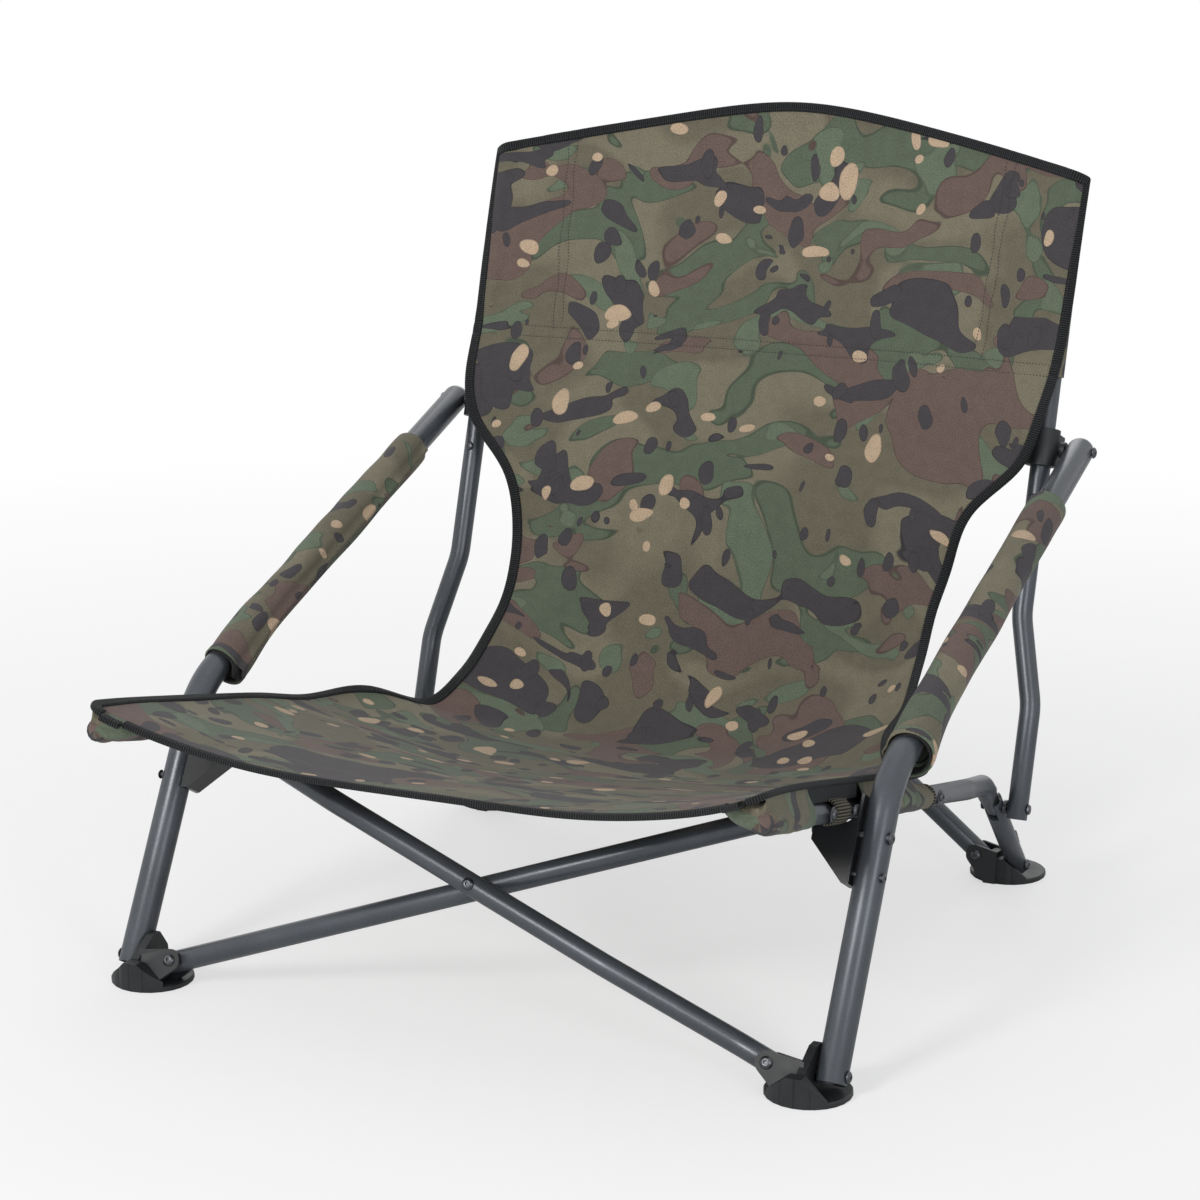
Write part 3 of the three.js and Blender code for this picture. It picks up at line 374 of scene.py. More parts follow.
class Nodes:
    """A node tree, built with short calls."""

    def __init__(self, tree):
        self.tree = tree
        tree.nodes.clear()

    def node(self, kind, values=None, **settings):
        """A node with values or links on its sockets and its own settings."""
        made = self.tree.nodes.new(kind)
        for key, value in settings.items():
            setattr(made, key, value)
        for key, value in (values or {}).items():
            self.put(made.inputs[key], value)
        return made

    def put(self, socket, value):
        """A link, a colour or a plain value on a socket."""
        if isinstance(value, bpy.types.NodeSocket):
            self.tree.links.new(value, socket)
        elif hasattr(value, "__len__") and len(value) == 3 and socket.type == "RGBA":
            socket.default_value = (*value, 1)
        else:
            socket.default_value = value

    def object_place(self):
        """Places in the piece's own frame, in metres."""
        return self.node("ShaderNodeTexCoord").outputs["Object"]

    def cloth_place(self):
        """Flat places on the cloth, in metres."""
        return self.node("ShaderNodeUVMap", uv_map="UVMap").outputs[0]

    def mapped(self, vector, scale=(1, 1, 1), turn=0.0, shift=(0, 0, 0)):
        """Places scaled, turned and shifted."""
        return self.node("ShaderNodeMapping", {"Vector": vector, "Scale": scale, "Rotation": (0, 0, turn),
                                               "Location": shift}).outputs[0]

    def noise(self, vector, scale, detail=2.0, seed=0.0, rough=0.5, warp=0.0, out=0):
        """A noise's value at places."""
        values = {"Vector": vector, "Scale": scale, "Detail": detail, "W": seed, "Roughness": rough, "Distortion": warp}
        return self.node("ShaderNodeTexNoise", values, noise_dimensions="4D").outputs[out]

    def math(self, operation, a, b=0.0):
        """One sum on two values."""
        return self.node("ShaderNodeMath", {0: a, 1: b}, operation=operation).outputs[0]

    def vector(self, operation, values):
        """One sum on vectors."""
        return self.node("ShaderNodeVectorMath", values, operation=operation).outputs[0]

    def ramp(self, value, low, high, to_low=0.0, to_high=1.0):
        """A value brought from one range to another and held there."""
        return self.node("ShaderNodeMapRange", {"Value": value, "From Min": low, "From Max": high, "To Min": to_low,
                                                "To Max": to_high}).outputs[0]

    def spread(self, noise, to_low=0.0, to_high=1.0):
        """A noise's usual values, 0.3 to 0.7, spread over a range."""
        return self.ramp(noise, 0.3, 0.7, to_low, to_high)

    def mix(self, share, a, b, blend="MIX"):
        """Two colours mixed by a share."""
        made = self.node("ShaderNodeMix", data_type="RGBA", blend_type=blend)
        for socket, value in zip((made.inputs[0], made.inputs[6], made.inputs[7]), (share, a, b)):
            self.put(socket, value)
        return made.outputs[2]

    def bump(self, height, strength, distance, normal=None):
        """A normal bent by a height."""
        values = {"Height": height, "Strength": strength, "Distance": distance}
        return self.node("ShaderNodeBump", values if normal is None else {**values, "Normal": normal}).outputs[0]


class Shader(Nodes):
    """A material's node tree with its surface shader."""

    def __init__(self, name):
        self.material = bpy.data.materials.new(name)
        self.material.use_nodes = True
        super().__init__(self.material.node_tree)
        self.out = self.node("ShaderNodeOutputMaterial")
        self.surface = self.node("ShaderNodeBsdfPrincipled")
        self.put(self.out.inputs[0], self.surface.outputs[0])

    def set(self, **values):
        """Values or links on the surface's sockets; underscores stand for spaces."""
        for key, value in values.items():
            self.put(self.surface.inputs[key.replace("_", " ")], value)
        return self.material


def scaled(colour, factor):
    """A colour made darker or lighter."""
    return tuple(min(1.0, c * factor) for c in colour)


def tube_paint(colours, name="frame_paint", tone=1.0, metal=0.3):
    """Satin powder paint: faint mottling, fine orange peel with a sparkle, and rubbed paler patches."""
    s = Shader(name)
    where = s.object_place()
    cloud = s.noise(where, 18, 3, 1)
    grain = s.noise(where, 1700, 2, 2)
    scuff = s.ramp(s.noise(s.mapped(where, (1, 0.35, 0.35)), 60, 4, 3, 0.65), 0.62, 0.74)
    base = s.mix(s.spread(cloud), scaled(colours.tube, 0.86 * tone), scaled(colours.tube, 1.12 * tone))
    base = s.mix(s.math("MULTIPLY", scuff, 0.25), base, scaled(colours.tube, 1.7 * tone))
    base = tinted(s, base, s.spread(grain), 0.7, 1.3)
    rough = s.spread(cloud, 0.27, 0.35)
    return s.set(Base_Color=base, Metallic=metal, Roughness=rough, Normal=s.bump(grain, 0.25, 0.0003))


def moulded_plastic(colours):
    """Black moulded plastic: spark-eroded grain and paler patches of dust spread by a slow noise."""
    s = Shader("moulded_plastic")
    where = s.object_place()
    grain = s.noise(where, 1100, 3, 4)
    cloud = s.noise(where, 40, 3, 5)
    base = s.mix(s.ramp(cloud, 0.35, 0.7), colours.moulded, scaled(colours.moulded, 1.7))
    return s.set(Base_Color=base, Roughness=s.spread(cloud, 0.42, 0.58), Specular_IOR_Level=0.45,
                 Normal=s.bump(grain, 0.25, 0.0003))


def fastener_steel(colours):
    """Darkened steel with fine turning marks."""
    s = Shader("fastener_steel")
    where = s.object_place()
    grain = s.noise(s.mapped(where, (1, 1, 4)), 700, 3, 6)
    base = s.mix(s.spread(grain), scaled(colours.fastener, 0.7), scaled(colours.fastener, 1.3))
    return s.set(Base_Color=base, Metallic=0.9, Roughness=s.spread(grain, 0.28, 0.42),
                 Normal=s.bump(grain, 0.1, 0.0002))


def print_layer(s, ground, field, level, colour, edge=0.012, dark=0.66):
    """One printed colour laid on the ground where a field is over a level, with a thin darker rim."""
    rim = s.ramp(field, level - edge, level - edge * 0.7)
    body = s.ramp(field, level - edge * 0.15, level + edge * 0.15)
    return s.mix(body, s.mix(rim, ground, scaled(colour, dark)), colour)


def spots(s, where, scale, low, high, keep):
    """Scattered ovals: a cell's own radius less the distance to its point, for the share of the cells that show
    one."""
    cells = s.node("ShaderNodeTexVoronoi", {"Vector": where, "Scale": scale, "Randomness": 0.9},
                   voronoi_dimensions="2D")
    draw = s.node("ShaderNodeSeparateColor", {0: cells.outputs["Color"]})
    size = s.ramp(draw.outputs[0], 0, 1, low, high)
    shown = s.math("MULTIPLY", s.math("LESS_THAN", draw.outputs[1], keep), 2)
    return s.math("SUBTRACT", s.math("SUBTRACT", s.math("ADD", size, shown), 2), cells.outputs["Distance"])


def swayed(s, where, scale, reach, seed):
    """A place moved about by a slow noise of vectors."""
    sway = s.noise(where, scale, 0.6, seed, out="Color")
    off = s.vector("SCALE", {0: s.vector("SUBTRACT", {0: sway, 1: (0.5, 0.5, 0.5)}), "Scale": reach})
    return s.vector("ADD", {0: where, 1: off})


def tinted(s, base, value, low, high):
    """A colour made darker and lighter as a value goes from 0 to 1."""
    shade = s.ramp(value, 0, 1, low, high)
    grey = s.node("ShaderNodeCombineColor", {0: shade, 1: shade, 2: shade}).outputs[0]
    return s.mix(1.0, base, grey, "MULTIPLY")


# Cream ovals in three layers: turn, stretch across and along, cells to a metre, smallest and largest radius in cells,
# and the share of the cells that show one
CREAM_OVALS = (
    (0.5, 1.0, 0.7, 15, 0.08, 0.155, 0.12), (-0.6, 0.72, 1.15, 19, 0.08, 0.165, 0.14),
    (1.3, 1.0, 1.0, 25, 0.09, 0.15, 0.13),
)


def camouflage(colours, sizes, name, shift):
    """Printed woven polyester: a khaki ground with paler drifts, then green, brown and charcoal shapes from noise
    fields that a slower noise bends, dark and cream ovals over them, and a plain weave in colour and height."""
    s = Shader(name)
    where = s.mapped(s.cloth_place(), (1 / sizes.pattern, 1 / sizes.pattern, 1), 0, shift)
    bent = swayed(s, where, 9, 0.13, 9)
    fine = swayed(s, where, 30, 0.02, 10)

    def field(turn, wide, tall, scale, seed, detail=1.0):
        """One print field: a noise stretched across and along, and turned."""
        place = s.mapped(bent, (wide, tall, 1), turn)
        return s.noise(place, scale, detail, seed, 0.4, 0.25)

    drift = s.ramp(field(0.2, 0.8, 1.1, 12, 11, 0.6), 0.5, 0.58)
    base = s.mix(drift, colours.khaki, scaled(colours.khaki, 1.35))
    base = print_layer(s, base, field(0.15, 0.75, 1.2, 15, 12), 0.555, colours.green)
    base = print_layer(s, base, field(-0.3, 0.8, 1.25, 19, 17), 0.615, scaled(colours.green, 1.25))
    base = print_layer(s, base, field(-0.5, 0.8, 1.3, 15.5, 13), 0.582, colours.brown, 0.008)
    base = print_layer(s, base, field(0.4, 0.75, 1.3, 14.5, 24, 1.3), 0.607, colours.charcoal, 0.006)
    base = print_layer(s, base, field(1.2, 0.7, 1.4, 21, 31, 1.0), 0.65, colours.charcoal, 0.006)
    upright = s.mapped(fine, (1.5, 0.85, 1), -0.25)
    base = print_layer(s, base, spots(s, upright, 25, 0.06, 0.3, 0.4), 0.0, colours.charcoal, 0.02)
    for turn, wide, tall, scale, low, high, keep in CREAM_OVALS:
        place = s.mapped(fine, (wide, tall, 1), turn, (0.37 * turn, 0.21, 0))
        base = print_layer(s, base, spots(s, place, scale, low, high, keep), 0.0, colours.cream, 0.012, 0.8)
    base = tinted(s, base, s.spread(s.noise(where, 90, 4, 15, 0.6)), 0.9, 1.08)
    threads = s.vector("SCALE", {0: s.cloth_place(), "Scale": 2 * math.pi / sizes.weave})
    parts = s.node("ShaderNodeSeparateXYZ", {0: threads}).outputs
    weave = s.math("MULTIPLY", s.math("SINE", parts[0]), s.math("SINE", parts[1]))
    grain = s.noise(s.cloth_place(), 900, 2, 18, 0.7)
    base = tinted(s, base, s.ramp(weave, -1, 1), 0.86, 1.12)
    base = tinted(s, base, s.spread(grain), 0.6, 1.36)
    crumple = s.noise(where, 55, 5, 16, 0.55)
    normal = s.bump(crumple, 0.35, 0.0012, s.bump(weave, 0.35, 0.0002))
    return s.set(Base_Color=base, Roughness=0.86, Sheen_Weight=0.1, Sheen_Roughness=0.5, Specular_IOR_Level=0.25,
                 Normal=normal)


def ribbed_tape(name, colour, sizes):
    """Woven edge tape: ribs square to the edge, with painted highlight on their crowns and painted shade in their
    grooves.
    """
    s = Shader(name)
    parts = s.node("ShaderNodeSeparateXYZ", {0: s.cloth_place()})
    rib = s.math("SINE", s.math("MULTIPLY", parts.outputs[0], 2 * math.pi / sizes.rib))
    fine = s.noise(s.cloth_place(), 900, 3, 21)
    height = s.math("ADD", rib, s.math("MULTIPLY", fine, 0.6))
    # Painted light: the colour goes from near black in the grooves to pale on the crowns, following the ribs
    base = s.mix(s.ramp(rib, -0.4, 0.6), scaled(colour, 0.15), scaled(colour, 1.9))
    return s.set(Base_Color=base, Roughness=0.8, Specular_IOR_Level=0.25, Sheen_Weight=0.05, Sheen_Roughness=0.4,
                 Normal=s.bump(height, 0.9, 0.0006))


def thread_material(colour):
    """Twisted polyester thread."""
    s = Shader("dark_thread")
    twist = s.noise(s.mapped(s.object_place(), (1, 1, 1), 0.6), 2600, 2, 31)
    base = s.mix(s.ramp(twist, 0.35, 0.65), scaled(colour, 0.7), scaled(colour, 1.35))
    return s.set(Base_Color=base, Roughness=0.6, Sheen_Weight=0.2, Normal=s.bump(twist, 0.4, 0.0002))


def foam_material():
    """Dark closed-cell foam inside the arm pads."""
    s = Shader("pad_foam")
    cells = s.noise(s.object_place(), 500, 4, 41)
    base = s.mix(s.spread(cells), linear(16, 16, 17), linear(34, 34, 36))
    return s.set(Base_Color=base, Roughness=0.95, Normal=s.bump(cells, 0.5, 0.0006))


# The materials made so far, by name
MADE = {}


def finish(name):
    """The material of that name, made once."""
    colours, sizes = bpy.context.scene.chair_colours, bpy.context.scene.chair_sizes
    makers = {
        "tube": lambda: tube_paint(colours),
        "plate": lambda: tube_paint(colours, "plate_paint", 0.14, 0.0),
        "moulded": lambda: moulded_plastic(colours),
        "fastener": lambda: fastener_steel(colours),
        "seat": lambda: camouflage(colours, sizes, "printed_cloth", (0.31, 0.12, 0)),
        "pad_right": lambda: camouflage(colours, sizes, "printed_pad_right", (1.71, 0.9, 0)),
        "pad_left": lambda: camouflage(colours, sizes, "printed_pad_left", (2.93, 1.4, 0)),
        "tape": lambda: ribbed_tape("ribbed_tape", colours.binding, sizes),
        "cuff": lambda: ribbed_tape("ribbed_cuff", scaled(colours.khaki, 0.5), sizes),
        "thread": lambda: thread_material(colours.thread),
        "foam": foam_material,
    }
    if name not in MADE:
        MADE[name] = makers[name]()
    return MADE[name]


# Frame tubes

ARM_FOOT, ARM_KNEE, ARM_TOP = (317, 2.3, 17.6), (317, 115.7, 226.5), (317, 597.7, 400)
ARM_RADIUS, STRUT_RADIUS, ARM_WALL, STRUT_WALL = 12.5, 9.25, 1.5, 1.3
UPRIGHT_CORNERS = ((303.5, 488, 82.9), (303.5, 519, 181), (285, 543, 257), (285, 663, 637))
FRONT_PIN, HUB_PIN = np.array([270, -6, 22.0]), np.array([270, 72.1, 206.0])
REAR_PIN, REAR_TOP = np.array([248, 556, 24.0]), np.array([248, 597.7, 400.0])
RAIL_PIVOT, REAR_LEG_PIN = np.array([281, 491, 92.4]), np.array([281, 564, 16.0])
RAIL_FRONT, RAIL_KNEE = np.array([290, -80, 240.8]), np.array([290, 385, 137.7])
RAIL_BEND = np.array([283.5, 451, 123.1])
ACROSS = np.array([1.0, 0.0, 0.0])
FRONT_LEAN = math.radians(23)
FRONT_NORMAL = np.array([0.0, math.cos(FRONT_LEAN), -math.sin(FRONT_LEAN)])
REAR_UP = unit(REAR_TOP - REAR_PIN)
REAR_NORMAL = np.array([0.0, REAR_UP[2], -REAR_UP[1]])
RAIL_AXIS = unit(RAIL_KNEE - RAIL_FRONT)
PAST_PIN, BOW, BOW_STUB = 4.8, 20, 30
ARM_BEND, UPRIGHT_BEND, RAIL_ROUND, CROSS_BEND = 85, 80, 40, 90
# The rail's tongue: how long, how long the taper to it, half its thickness, and how far it goes past the pivot, which
# is also the radius of its tip
TONGUE_LONG, TONGUE_TAPER, TONGUE_HALF, TONGUE_PAST = 44, 20, 4.0, 8
# The slot for it: from above the pivot to below it, half its width, and half the block's depth
SLOT_ABOVE, SLOT_BELOW, SLOT_HALF, SLOT_DEEP = 20, 12, 4.35, 15


def cross_corners(start, end, direction, bow_from=None, bow_to=None):
    """A cross tube's corners: straight, or standing off by BOW between two places given by their x."""
    if bow_from is None:
        return longer([start, end], PAST_PIN, PAST_PIN)
    stub = unit(end - start) * BOW_STUB
    at = [start + (end - start) * (x - start[0]) / (end[0] - start[0]) + direction * BOW for x in (bow_from, bow_to)]
    return longer([start, start + stub, *at, end - stub, end], PAST_PIN, PAST_PIN)


def make_tube(name, corners, bend, body, node=None, side="right", reference=ACROSS, ends=("open", "open"),
              gauge=(STRUT_RADIUS, STRUT_WALL)):
    """One tube: a circle carried along its rounded centre line, closed by its end rings."""
    rings, uvs = tube_patch(rounded_line(corners, bend), *gauge, reference, bpy.context.scene.chair_sizes.tube_sides,
                            ends)
    patches = Patches().grid(place(on_side(rings, side)), True, uvs)
    return patches.piece(name, "tube", body, "frame_paint", merge=2e-6, node=node or body)


def flattened_rail():
    """The seat rail on the right: round, then pressed from a circle to a flat tongue near its pivot, its end
    rounded."""
    sides = bpy.context.scene.chair_sizes.tube_sides
    line = rounded_line(longer([RAIL_FRONT, RAIL_KNEE, RAIL_BEND, RAIL_PIVOT], 0, TONGUE_PAST), RAIL_ROUND)
    tail = line[-1] - np.linspace(TONGUE_LONG, 0, 34)[:, None] * directions(line)[-1]
    line = np.concatenate([line[along(line) < along(line)[-1] - TONGUE_LONG - 2], tail])
    tangents = directions(line)
    left = along(line)[-1] - along(line)
    press = smooth((TONGUE_LONG - left) / TONGUE_TAPER)
    tip = quarter(left / TONGUE_PAST)
    wide = STRUT_RADIUS * np.maximum(tip, 0.02)
    thin = (STRUT_RADIUS + press * (TONGUE_HALF - STRUT_RADIUS)) * np.minimum(1, np.maximum(tip * 3, 0.02))
    angle = even_turns(sides)
    square = 2 / (2 + 4 * press)[:, None]
    a = powered(np.cos(angle), square) * thin[:, None]
    b = powered(np.sin(angle), square) * wide[:, None]
    start = end_rings("open", STRUT_RADIUS, STRUT_WALL)
    first = np.array([line[0] - tangents[0] * offset for offset, _ in start])
    mouth = np.stack([circle(max(r, 1e-3), sides) for _, r in start])
    points = np.concatenate([first, line[1:]])
    headings = np.concatenate([np.repeat(tangents[:1], len(first), 0), tangents[1:]])
    rings = sweep(points, headings, np.concatenate([mouth, np.stack([b, a], -1)[1:]]), ACROSS)
    return np.concatenate([rings, np.broadcast_to(points[-1], (1, sides, 3))])


class CHAIR_OT_tubes(bpy.types.Operator):
    """Build the arm tubes, rails, rear legs, uprights and cross tubes as round bent tubes"""

    bl_idname = "chair.tubes"
    bl_label = "Frame tubes"

    def execute(self, context):
        for side in SIDES:
            make_tube(f"arm_tube_{side}", longer([ARM_FOOT, ARM_KNEE, ARM_TOP], 7, 0), ARM_BEND, f"leg_{side}",
                      f"arm_leg_{side}", side, ends=("open", "dome"), gauge=(ARM_RADIUS, ARM_WALL))
            make_tube(f"upright_tube_{side}", UPRIGHT_CORNERS, UPRIGHT_BEND, f"upright_{side}", side=side)
            rail = Patches().grid(place(on_side(flattened_rail(), side)), True)
            rail.piece(f"rail_tube_{side}", "tube", f"rail_{side}", "frame_paint", merge=2e-6, node=f"seat_rail_{side}")
            leg = make_tube(f"rear_leg_tube_{side}", longer([RAIL_PIVOT, REAR_LEG_PIN], 11, 5.8), RAIL_ROUND,
                            f"rear_leg_{side}", side=side)
            self.slotted(leg, side)
        forward = -FRONT_NORMAL
        for name, corners, normal in (
            ("front_cross_straight", cross_corners(mirrored(FRONT_PIN), HUB_PIN, forward), FRONT_NORMAL),
            ("front_cross_bowed", cross_corners(FRONT_PIN, mirrored(HUB_PIN), forward, 125, -138), FRONT_NORMAL),
            ("rear_cross_straight", cross_corners(REAR_PIN, mirrored(REAR_TOP), REAR_NORMAL), REAR_NORMAL),
            ("rear_cross_bowed", cross_corners(mirrored(REAR_PIN), REAR_TOP, REAR_NORMAL, -130, 130), REAR_NORMAL),
        ):
            make_tube(f"{name}_tube", corners, CROSS_BEND, name, reference=normal)
        return {"FINISHED"}

    def slotted(self, leg, side):
        """Cuts the slot that takes the rail's tongue: a block across the pivot, along the leg."""
        down = unit(REAR_LEG_PIN - RAIL_PIVOT)
        back = np.array([0.0, -down[2], down[1]])
        work = bmesh.new()
        for end in (RAIL_PIVOT - down * SLOT_ABOVE, RAIL_PIVOT + down * SLOT_BELOW):
            for x in (-SLOT_HALF, SLOT_HALF):
                for y in (-SLOT_DEEP, SLOT_DEEP):
                    work.verts.new(place(on_side(end + ACROSS * x + back * y, side)))
        bmesh.ops.convex_hull(work, input=work.verts)
        bmesh.ops.recalc_face_normals(work, faces=work.faces)
        mesh = bpy.data.meshes.new("slot_block")
        work.to_mesh(mesh)
        work.free()
        block = linked("slot_block", mesh)
        modifier = leg.modifiers.new("slot", "BOOLEAN")
        modifier.operation, modifier.object, modifier.solver = "DIFFERENCE", block, "EXACT"
        bpy.context.view_layer.update()
        done = bpy.data.meshes.new_from_object(leg.evaluated_get(bpy.context.evaluated_depsgraph_get()))
        leg.modifiers.clear()
        leg.data = done
        done.set_sharp_from_angle(angle=math.radians(SHARP))
        bpy.data.objects.remove(block)


# Mouldings

# Bevel of the mouldings, of the small ones and of pressed sheet, in metres
MOULDING_BEVEL, SMALL_BEVEL, SHEET_BEVEL = 0.0007, 0.0006, 0.0005


def softened(node, name, look, body, bevel, slot_name):
    """A copy of a CAD solid with its flat faces joined and its edges rounded by a small bevel."""
    work = bmesh.new()
    work.from_mesh(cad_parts[node].data)
    bmesh.ops.remove_doubles(work, verts=work.verts, dist=1e-5)
    bmesh.ops.dissolve_limit(work, angle_limit=math.radians(1.0), verts=work.verts, edges=work.edges)
    mesh = bpy.data.meshes.new(name)
    work.to_mesh(mesh)
    work.free()
    made = mesh_object(name, mesh, finish(look), 30)
    soften = made.modifiers.new("soft edges", "BEVEL")
    soften.width, soften.segments, soften.limit_method = bevel, 2, "ANGLE"
    soften.angle_limit = math.radians(38)
    soften.harden_normals = True
    return dress(made, body, slot_name, node)


class CHAIR_OT_mouldings(bpy.types.Operator):
    """Round the edges of the feet, hubs, collars, cradles, plugs and caps"""

    bl_idname = "chair.mouldings"
    bl_label = "Mouldings and cradles"

    def execute(self, context):
        for side in SIDES:
            for node, name, body, bevel in (
                ("front_foot", "front_foot_moulding", "front_foot", MOULDING_BEVEL),
                ("rear_foot", "rear_foot_moulding", "rear_foot", MOULDING_BEVEL),
                ("rail_hub", "hub_block", "hub", SMALL_BEVEL), ("collar", "collar_block", "collar", MOULDING_BEVEL),
                ("rail_plug", "rail_end_plug", "rail", SMALL_BEVEL),
                ("upright_cap", "upright_top_cap", "upright", SMALL_BEVEL),
            ):
                softened(f"{node}_{side}", f"{name}_{side}", "moulded", f"{body}_{side}", bevel, "moulding")
            softened(f"leg_cradle_{side}", f"cradle_plate_{side}", "plate", f"leg_{side}", SHEET_BEVEL, "frame_paint")
        return {"FINISHED"}


# Fasteners

PINS = {
    "leg_foot_pin": "front_foot", "rear_foot_pin": "rear_foot", "front_clevis_pin": "front_foot",
    "rear_clevis_pin": "rear_foot", "hub_cross_pin": "hub", "hub_rail_pin": "hub", "cradle_pin": "leg",
    "cradle_rivet": "leg", "arm_top_bolt": "leg", "upright_stop_bolt": "upright", "rear_pivot_pin": "rail",
}
CROSSING_PINS = {
    "rear_cross_rivet_left": "rear_cross_straight", "rear_cross_rivet_right": "rear_cross_bowed",
    "front_crossing_rivet": "front_cross_straight", "rear_crossing_screw": "rear_cross_straight",
    "rear_crossing_post": "rear_cross_bowed",
}
# In metres: the depth in which a head's points are looked for, the radius from which a head is a large one, and the
# heights of a large and a small head
HEAD_DEPTH, LARGE_HEAD, LARGE_TALL, SMALL_TALL = 0.0032, 0.0045, 0.0024, 0.0018
PIN_SIDES = 30
SCREWS_AT = (40.0, 291.0)
SCREW_PROFILE = ((1e-4, 2.2), (1.7, 2.2), (1.9, 3.2), (3.0, 3.1), (3.9, 2.4), (4.3, 1.4), (4.3, 1.0), (6.0, 0.9),
                 (6.4, 0.6), (6.4, 0.1), (6.2, -0.3), (1e-4, -0.3))


def pin_shape(node):
    """A CAD pin's place from its points: centre and axis by the longest spread, both ends' heights and radii, and the
    shank's radius."""
    points = np.array([v.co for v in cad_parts[node].data.vertices], float)
    points = np.unique(np.round(points, 6), axis=0)
    centre = points.mean(0)
    axis = np.linalg.svd(points - centre)[2][0]
    height = (points - centre) @ axis
    off = points - centre - height[:, None] * axis
    ends = []
    for end in (height.min(), height.max()):
        near = np.abs(height - end) < HEAD_DEPTH
        ends.append((end, np.linalg.norm(off[near] - off[near].mean(0), axis=1).max()))
    core = np.median(off, axis=0)
    return centre + core, axis, ends, float(np.percentile(np.linalg.norm(off - core, axis=1), 30))


def domed_head(radius, high, socket):
    """Half a head's profile from the middle outwards, as (radius, height) pairs over its seat: a hexagonal socket, then
    a dome that falls to a rounded rim. The flags say which rings are hexagons."""
    crown = np.linspace(0, 1, 7)
    dome = [(radius * (0.42 + 0.55 * c), high * (1 - 0.72 * c ** 2.2)) for c in crown]
    if socket:
        inner = [(1e-4 * radius, high * 0.35), (radius * 0.3, high * 0.35), (radius * 0.34, high * 0.95)]
    else:
        inner = [(1e-4 * radius, high * 1.02), (radius * 0.2, high * 1.01)]
    profile = inner + dome + [(radius, high * 0.18), (radius, 0.0)]
    return profile, [int(socket)] * len(inner) + [0] * (len(profile) - len(inner))


def make_pin(node, body):
    """A pin: a round shank, and at each wide end a domed head with a socket at the outer one."""
    centre, axis, ends, shank = pin_shape(node)
    profile, flags = [], []
    for (end, radius), direction in zip(ends, (-1, 1)):
        large = radius > LARGE_HEAD
        tall = LARGE_TALL if large else SMALL_TALL
        if radius > shank * 1.25:
            half, marks = domed_head(radius * 0.98, tall, direction > 0 or large)
            half = [(r, end - direction * (tall - h)) for r, h in half] + [(shank, end - direction * tall)]
            marks = marks + [0]
        else:
            half, marks = [(1e-7, end), (shank * 0.9, end), (shank, end - direction * 0.0003)], [0, 0, 0]
        profile, flags = profile + half[::-direction], flags + marks[::-direction]
    patches = Patches().grid(lathe(profile, centre, axis, PIN_SIDES, flags), True)
    return patches.piece(f"{node}_fitting", "fastener", body, "fastener", node=node)


class CHAIR_OT_fasteners(bpy.types.Operator):
    """Build the rivets, pins and bolts as domed heads on round shanks"""

    bl_idname = "chair.fasteners"
    bl_label = "Fasteners"

    def execute(self, context):
        for side in SIDES:
            for name, body in PINS.items():
                if name == "rear_pivot_pin":
                    softened(f"{name}_{side}", f"{name}_{side}_fitting", "fastener", f"{body}_{side}", SHEET_BEVEL,
                             "fastener")
                else:
                    make_pin(f"{name}_{side}", f"{body}_{side}")
        for name, body in CROSSING_PINS.items():
            make_pin(name, body)
        for side in SIDES:
            self.sleeve_screws(side)
        return {"FINISHED"}

    def sleeve_screws(self, side):
        """The screws that hold the sleeves to a rail: a washer and a domed head on the rail's outer face."""
        patches = Patches()
        socket = [1, 1, 1] + [0] * (len(SCREW_PROFILE) - 3)
        for y in SCREWS_AT:
            rings = lathe(SCREW_PROFILE, rail_at(y) + ACROSS * (STRUT_RADIUS - 0.4), ACROSS, PIN_SIDES, socket)
            patches.grid(place(on_side(rings, side)), True)
        patches.piece(f"sleeve_screws_{side}", "fastener", f"rail_{side}", "fastener")


def rail_at(y):
    """A point of the seat rail's straight run on the right, by its depth."""
    share = (np.asarray(y, float) - RAIL_FRONT[1]) / (RAIL_KNEE[1] - RAIL_FRONT[1])
    return RAIL_FRONT + share[..., None] * (RAIL_KNEE - RAIL_FRONT)


# Sling

# Rows from the seat's front edge over the crease to the back's top edge: the right edge's x, y, z, the middle's y, z
# and the power by which a row leaves the middle
ROWS = np.array([
    (296.0, -93.0, 265.5, -75.3, 222.1, 3.8), (292.0, -38.0, 255.5, -33.5, 212.4, 2.8),
    (290.4, 59.5, 233.6, 59.5, 191.3, 2.3), (290.1, 175.8, 206.5, 175.8, 163.5, 2.2),
    (289.5, 235.0, 190.5, 229.0, 150.6, 2.2), (286.5, 292.0, 182.0, 290.0, 136.6, 2.2),
    (262.0, 326.0, 178.5, 347.0, 125.7, 2.2), (229.0, 364.0, 162.3, 398.0, 119.2, 2.0),
    (216.0, 392.0, 175.5, 438.0, 117.0, 1.9),
    (217.0, 430.0, 187.0, 472.0, 128.0, 1.9), (215.5, 459.0, 205.5, 500.0, 150.1, 1.9),
    (213.2, 490.0, 231.0, 530.0, 199.9, 1.8), (214.0, 512.0, 262.0, 552.0, 260.0, 1.8),
    (220.8, 532.0, 299.9, 568.7, 319.4, 1.8), (236.1, 540.1, 347.6, 584.6, 362.3, 1.8),
    (274.9, 553.9, 388.8, 600.0, 400.0, 1.8), (288.6, 567.0, 427.7, 612.5, 437.3, 1.8),
    (294.3, 596.4, 471.3, 628.7, 480.1, 1.8), (297.6, 622.9, 553.3, 655.0, 549.7, 1.8),
    (298.3, 647.3, 632.1, 684.9, 629.5, 1.8), (298.3, 650.7, 642.5, 703.0, 690.5, 1.8),
])
CREASE_ROW = 8
UPRIGHT_X, UPRIGHT_BACK, UPRIGHT_CLEAR = 285.0, 440.35, 11.2
BACK_UP, BACK_AXIS = np.array([0.0, 0.30121, 0.95356]), np.array([0.0, 0.95356, -0.30121])
